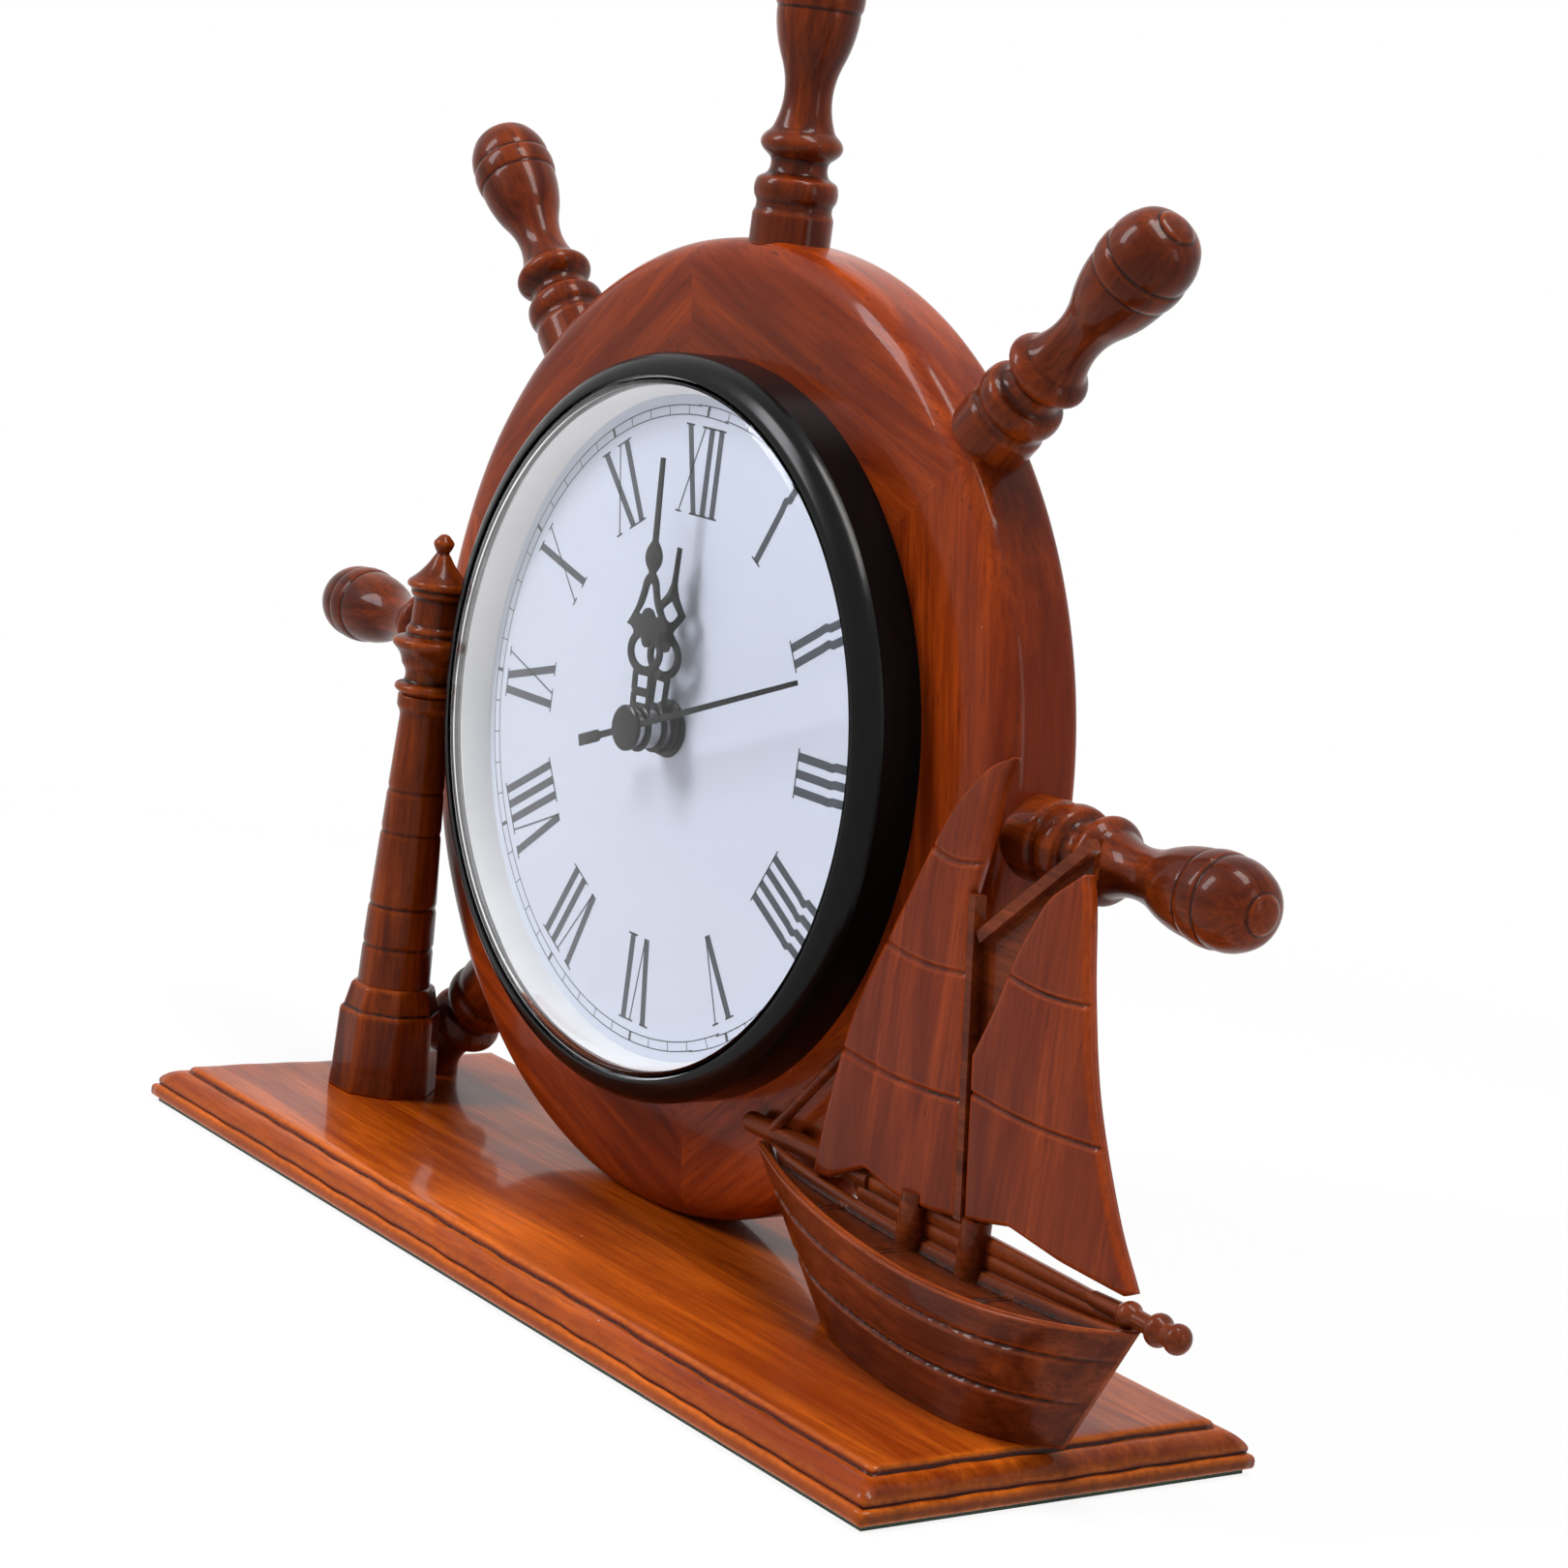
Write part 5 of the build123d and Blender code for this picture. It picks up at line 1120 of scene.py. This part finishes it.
def division_tree(material):
    """Geometry tree: one printed line at every minute of the track, and a broad one at every hour"""
    tree, given = new_tree("minute_divisions", {
        "Dial centre": ("Vector", (0, 0, 0)), "Divisions": ("Int", 60),
        "Inner radius": ("Float", 0.055), "Outer radius": ("Float", 0.057),
        "Line width": ("Float", 0.0002), "Hour width": ("Float", 0.0008),
    })
    both = maths(tree, "ADD", given["Inner radius"], given["Outer radius"])
    number, points, facing = places_round_wheel(
        tree, given["Divisions"], maths(tree, "MULTIPLY", both, 0.5), given["Dial centre"])
    left_over = maths(tree, "MODULO", number, 5.0)
    on_hour = add(tree, "FunctionNodeCompare", {0: left_over, 1: 0.5}, operation="LESS_THAN").outputs[0]
    width = add(tree, "GeometryNodeSwitch", {0: on_hour, 1: given["Line width"], 2: given["Hour width"]},
                input_type="FLOAT").outputs[0]
    height = maths(tree, "SUBTRACT", given["Outer radius"], given["Inner radius"])
    size = add(tree, "ShaderNodeCombineXYZ", {"X": width, "Y": 1.0, "Z": height}).outputs[0]
    placed = add(tree, "GeometryNodeInstanceOnPoints", {
        "Points": points, "Instance": given["Geometry"], "Rotation": facing, "Scale": size,
    })
    return end_tree(tree, placed.outputs[0], material)


stroke = bpy.data.meshes.new("division_stroke")
stroke.from_pydata([(-0.5, 0, -0.5), (0.5, 0, -0.5), (0.5, 0, 0.5), (-0.5, 0, 0.5)], [], [(0, 1, 2, 3)])
divisions = grown("printed_minutes", stroke, division_tree(ink), {
    "Dial centre": (wheel_centre.x, dial_face - ink_lift, wheel_centre.z),
    "Divisions": 60,
    "Inner radius": track_radii[0],
    "Outer radius": track_radii[1],
    "Line width": 0.00020,
    "Hour width": 0.0007,
})
finished_piece("printed_minutes", divisions, ink)


# Lens: a clear plastic dome with a tight shoulder, moulded in one, 1.3 mm thick and a little smeared
# by handling. It is held under the bezel's lip.

clear, clear_tree, clear_body, clear_place = new_material("clear_acrylic")
clear_smears = noise(clear_tree, clear_place, 30.0, 4.0)
feed(clear_tree, clear_body, {
    "Base Color": (1, 1, 1, 1), "Roughness": spread(clear_tree, clear_smears, 0.4, 0.8, 0.0, 0.04),
    "Transmission Weight": 1.0, "IOR": 1.49, "Specular Tint": (0.05, 0.05, 0.055, 1),
})
clear_shadow = add(clear_tree, "ShaderNodeBsdfTransparent")
clear_rays = add(clear_tree, "ShaderNodeLightPath").outputs
clear_pass = maths(clear_tree, "MAXIMUM", clear_rays["Is Shadow Ray"], clear_rays["Is Diffuse Ray"])
clear_mix = shader_mix(clear_tree, clear_pass, clear_body, clear_shadow)
feed(clear_tree, clear_tree.nodes["Material Output"], {"Surface": clear_mix.outputs[0]})

lens_foot = -0.0031
lens_rim = (
    (0.0628, lens_foot), (0.0630, -0.0034), (0.0630, -0.0040), (0.0628, -0.0042), (0.0618, -0.0042),
    (0.0616, -0.0044), (0.0616, -0.0050),
)
shoulder_middle = 0.0574
shoulder_width = 0.0042
shoulder_height = 0.0018
shoulder_turn = pi / 2 * 0.86
lens_apex = -0.0125
lens_wall = 0.0013
shoulder_steps = 12
dome_steps = 60
lens_outer = list(lens_rim)
for step in range(1, shoulder_steps + 1):
    turn = shoulder_turn * step / shoulder_steps
    lens_outer.append((shoulder_middle + shoulder_width * cos(turn),
                       lens_rim[-1][1] - shoulder_height * sin(turn)))
dome_start = lens_outer[-1]
for step in range(1, dome_steps + 1):
    share = step / dome_steps
    radius = dome_start[0] * (1 - share)
    lens_outer.append((radius, lens_apex - (lens_apex - dome_start[1]) * (radius / dome_start[0]) ** 2))
lens_inner = []
for before, here, after in zip(lens_outer[5:], lens_outer[6:], lens_outer[7:] + [(-0.001, lens_apex)]):
    way = Vector((after[0] - before[0], after[1] - before[1])).normalized()
    lens_inner.append((max(0.0, here[0] + way.y * lens_wall), here[1] - way.x * lens_wall))
lens_inner[-1] = (0.0, lens_apex + lens_wall)
lens_inner = [(lens_inner[0][0], lens_foot)] + lens_inner


def lathed_about_dial(name, rows, sides=256):
    """A ring or dome turned about the dial's axis from rows of (radius, depth), closed on itself"""
    rings = []
    for radius, depth in rows:
        turns = [2 * pi * side / sides for side in range(sides if radius > 1e-6 else 1)]
        rings.append([(wheel_centre.x + radius * sin(turn), depth, wheel_centre.z + radius * cos(turn))
                      for turn in turns])
    return skinned(name, rings, closed=rows[0][0] > 1e-6, stained=False)


lens_mesh = lathed_about_dial("domed_lens", [(0.0, lens_apex)] + lens_outer[-2::-1] + lens_inner)
finished_piece("domed_lens", lens_mesh, clear, replaced=("lens",))


# Hands, nut and washers: stamped black hands, each with a turned black collar that hides the bush
# and stands on the one below. The hour and the minute hand have openwork, the second hand a flat tail.

hand_black = moulded_plastic("hand_black", colour(5, 5, 6), 0.24, relief=0.03, specular=0.25)
bush_nickel = metal("bush_nickel", colour(168, 168, 170), 0.28)
hand_sheet = 0.00042
sheet_edge = 0.00008
flow_steps = 7
ring_steps = 18
barrel_slack = 0.0001
barrel_slope = 0.3
sharp_angle = radians(40)


def flowing(points):
    """Points down half an outline, smooth but for those marked as corners"""
    drawn, run = [], []
    for point in points:
        run.append(point[:2])
        if len(point) > 2 or point is points[-1]:
            if len(run) > 2:
                drawn.extend(map(tuple, smooth_line(run, flow_steps)[:-1]))
            else:
                drawn.extend(run[:-1])
            run = [point[:2]]
    return drawn + run


def arc_of(centre, high, wide, start, end):
    """Points of an oval ring round a place up the hand, from one angle to another in degrees"""
    turns = [radians(start + (end - start) * index / ring_steps) for index in range(ring_steps + 1)]
    return [(centre + high * sin(turn), wide * cos(turn)) for turn in turns]


def both_sides(half):
    """A closed outline from its right half, given as (up the hand, half width) in millimetres"""
    right = [(width, up) for up, width in half]
    left = [(-width, up) for up, width in reversed(half) if width > 1e-4]
    return [(x / 1000, y / 1000) for x, y in right + left]


def stamped_hand(name, halves, angle, front, collar, body, replaced):
    """Sheet with its openings, set at its time on its arbor, and the collar turned in one with it"""
    drawing = bpy.data.curves.new(name, "CURVE")
    drawing.dimensions = "2D"
    drawing.fill_mode = "BOTH"
    drawing.extrude = hand_sheet / 2 - sheet_edge
    drawing.bevel_depth = sheet_edge
    drawing.bevel_resolution = 1
    for outline in map(both_sides, halves):
        line = drawing.splines.new("POLY")
        line.points.add(len(outline) - 1)
        for point, (x, y) in zip(line.points, outline):
            point.co = (x, y, 0, 1)
        line.use_cyclic_u = True
    holder = bpy.data.objects.new(name + "_drawing", drawing)
    bpy.context.scene.collection.objects.link(holder)
    sheet = bpy.data.meshes.new_from_object(holder.evaluated_get(bpy.context.evaluated_depsgraph_get()))
    bpy.data.objects.remove(holder)
    turn = radians(angle)
    to_dial = Matrix(((cos(turn), sin(turn), 0, wheel_centre.x), (0, 0, -1, front + hand_sheet / 2),
                      (-sin(turn), cos(turn), 0, wheel_centre.z), (0, 0, 0, 1)))
    sheet.transform(to_dial)
    shape = bmesh.new()
    shape.from_mesh(sheet)
    bmesh.ops.remove_doubles(shape, verts=shape.verts, dist=1e-6)
    face_outward(shape)
    shape.from_mesh(lathed_about_dial(name + "_collar", collar, sides=72))
    mesh = bpy.data.meshes.new(name)
    shape.to_mesh(mesh)
    shape.free()
    finished_piece(name, mesh, hand_black, body, (replaced,))
    mesh.materials.append(bush_nickel)
    barrel = collar[-3][0]
    for face in mesh.polygons:
        from_axis = hypot(face.center.x - wheel_centre.x, face.center.z - wheel_centre.z)
        if abs(from_axis - barrel) < barrel_slack and abs(face.normal.y) < barrel_slope:
            face.material_index = 1
    mesh.set_sharp_from_angle(angle=sharp_angle)


def collar_rows(radius, face, flange, foot, barrel):
    """Rows of a collar: a domed front, a rounded flange and a slimmer barrel behind it"""
    return [(0.0, face - 0.00012), (radius * 0.55, face - 0.00009), (radius - 0.0006, face),
            (radius - 0.00025, face + 0.00006), (radius, face + 0.00028), (radius, flange - 0.00020),
            (radius - 0.0002, flange), (barrel + 0.0003, flange + 0.00004), (barrel, flange + 0.0003),
            (barrel, foot - 0.0001), (barrel - 0.0001, foot), (0.0, foot)]


minute_ring, minute_ring_hole = (13.6, 4.1, 5.2), (13.6, 2.7, 3.65)
hour_ring, hour_ring_hole = (13.0, 4.0, 5.0), (13.0, 2.7, 3.45)
minute_half = flowing([
    (47.5, 0.0, 1), (47.5, 0.50, 1), (33.0, 0.66, 1), (32.4, 1.20), (31.4, 2.00), (30.2, 2.35), (29.0, 2.05),
    (28.0, 1.25), (27.4, 0.75, 1), (26.9, 1.30), (25.8, 2.10), (24.0, 2.60), (21.4, 3.60), (19.4, 4.90),
    (17.9, 6.10, 1), (17.6, 4.9), (17.0, 4.0, 1),
]) + arc_of(*minute_ring, 42, -62) + flowing([
    (9.9, 2.9, 1), (6.6, 2.9, 1), (6.3, 2.5, 1), (6.0, 2.9, 1), (3.4, 2.9, 1), (3.0, 2.9, 1), (3.0, 0.0, 1),
])
minute_openings = [
    flowing([(25.9, 0.0), (25.2, 0.65), (23.9, 1.10), (22.2, 1.75), (20.9, 2.55), (20.0, 3.25, 1),
             (19.7, 2.1, 1), (20.3, 1.65), (20.9, 1.05), (21.2, 0.0)]),
    [(14.3, 0.0), (14.6, 0.80), (15.3, 1.25), (15.9, 1.40), (16.0, 1.50)]
    + arc_of(*minute_ring_hole, 60, -90),
    [(9.4, 0.0), (9.4, 1.75), (7.1, 1.75), (7.1, 0.0)],
    [(5.7, 0.0), (5.7, 1.75), (4.4, 1.75), (4.4, 0.0)],
]
hour_half = flowing([
    (32.3, 0.0, 1), (32.3, 0.48, 1), (26.8, 0.62), (25.2, 0.95), (23.6, 1.85), (22.4, 3.00), (21.0, 4.45, 1),
    (19.8, 3.55), (18.4, 2.15), (17.4, 1.55), (16.8, 2.2, 1),
]) + arc_of(*hour_ring, 60, -60) + flowing([(9.4, 2.6, 1), (3.4, 2.6, 1), (3.0, 2.6, 1), (3.0, 0.0, 1)])
hour_openings = [
    flowing([(23.0, 0.0), (22.4, 0.75), (21.6, 1.8), (20.9, 2.55, 1), (20.0, 1.9), (19.3, 1.0), (19.0, 0.0)]),
    [(13.7, 0.0), (14.0, 0.80), (14.7, 1.20), (15.3, 1.30), (15.5, 1.40)] + arc_of(*hour_ring_hole, 62, -90),
    [(8.6, 0.0), (8.6, 1.40), (4.4, 1.40), (4.4, 0.0)],
]
second_half = flowing([(49.7, 0.0, 1), (49.7, 0.36, 1), (0.0, 0.52, 1), (-8.4, 0.52, 1), (-9.0, 0.98, 1),
                       (-14.9, 0.98, 1), (-14.9, 0.0, 1)])
stamped_hand("openwork_hour_hand", [hour_half] + hour_openings, angle=2.0, front=-0.00125,
             collar=collar_rows(0.0043, face=-0.00150, flange=-0.00085, foot=0.00030, barrel=0.0036),
             body="hour", replaced="hour_hand")
stamped_hand("openwork_minute_hand", [minute_half] + minute_openings, angle=-3.0, front=-0.00455,
             collar=collar_rows(0.0042, face=-0.00480, flange=-0.00415, foot=-0.00172, barrel=0.0035),
             body="minute", replaced="minute_hand")
stamped_hand("slim_second_hand", [second_half], angle=70.0, front=-0.00695,
             collar=collar_rows(0.00405, face=-0.00740, flange=-0.00640, foot=-0.00502, barrel=0.0033),
             body="second", replaced="second_hand")
nut_rows = (
    (0.0040, 0.0022), (0.0050, 0.0022), (0.0052, 0.0020), (0.0052, 0.00175), (0.0050, 0.0016),
    (0.0042, 0.00155), (0.0041, 0.00145), (0.0041, 0.0011), (0.0043, 0.0010), (0.0046, 0.00095),
    (0.0047, 0.00080), (0.0047, 0.00055), (0.0045, 0.00042), (0.0040, 0.00042),
)
finished_piece("bush_nut", lathed_about_dial("bush_nut", nut_rows, sides=72), hand_black,
               replaced=("dial_nut", "dial_washer"))


# Movement: a black plastic case with a battery bay, plastic wheels, a magnet rotor between the
# arms of an iron stator, a copper coil, a circuit board with its crystal, and one round cell.

case_black = moulded_plastic("case_black", colour(20, 20, 21), 0.55, relief=0.35)
wheel_plastic = moulded_plastic("wheel_plastic", colour(226, 224, 214), 0.4, relief=0.05)
knob_grey = moulded_plastic("knob_grey", colour(70, 70, 72), 0.5, relief=0.3)
board_green = moulded_plastic("board_green", colour(28, 86, 52), 0.35, relief=0.05)
cell_sleeve = moulded_plastic("cell_sleeve", colour(38, 40, 44), 0.3, relief=0.02)
dress(["movement_front_case", "movement_rear_cover", "train_plate"], case_black)
dress(["hour_wheel", "minute_wheel", "centre_wheel", "third_wheel", "seconds_wheel", "intermediate_wheel"],
      wheel_plastic)
dress(["set_knob"], knob_grey)
dress(["circuit_board"], board_green)
dress(["battery_cell"], cell_sleeve)
dress(["stator"], metal("soft_iron", colour(150, 150, 152), 0.4))
dress(["coil"], metal("copper_winding", colour(178, 96, 54), 0.3, brushed=(200, 6000, 200)))
dress(["rotor"], metal("magnet", colour(92, 92, 96), 0.35))
dress(["quartz_crystal"], metal("crystal_can", colour(190, 192, 196), 0.2))
dress(["battery_contacts"], metal("nickel_contacts", colour(186, 184, 178), 0.25))
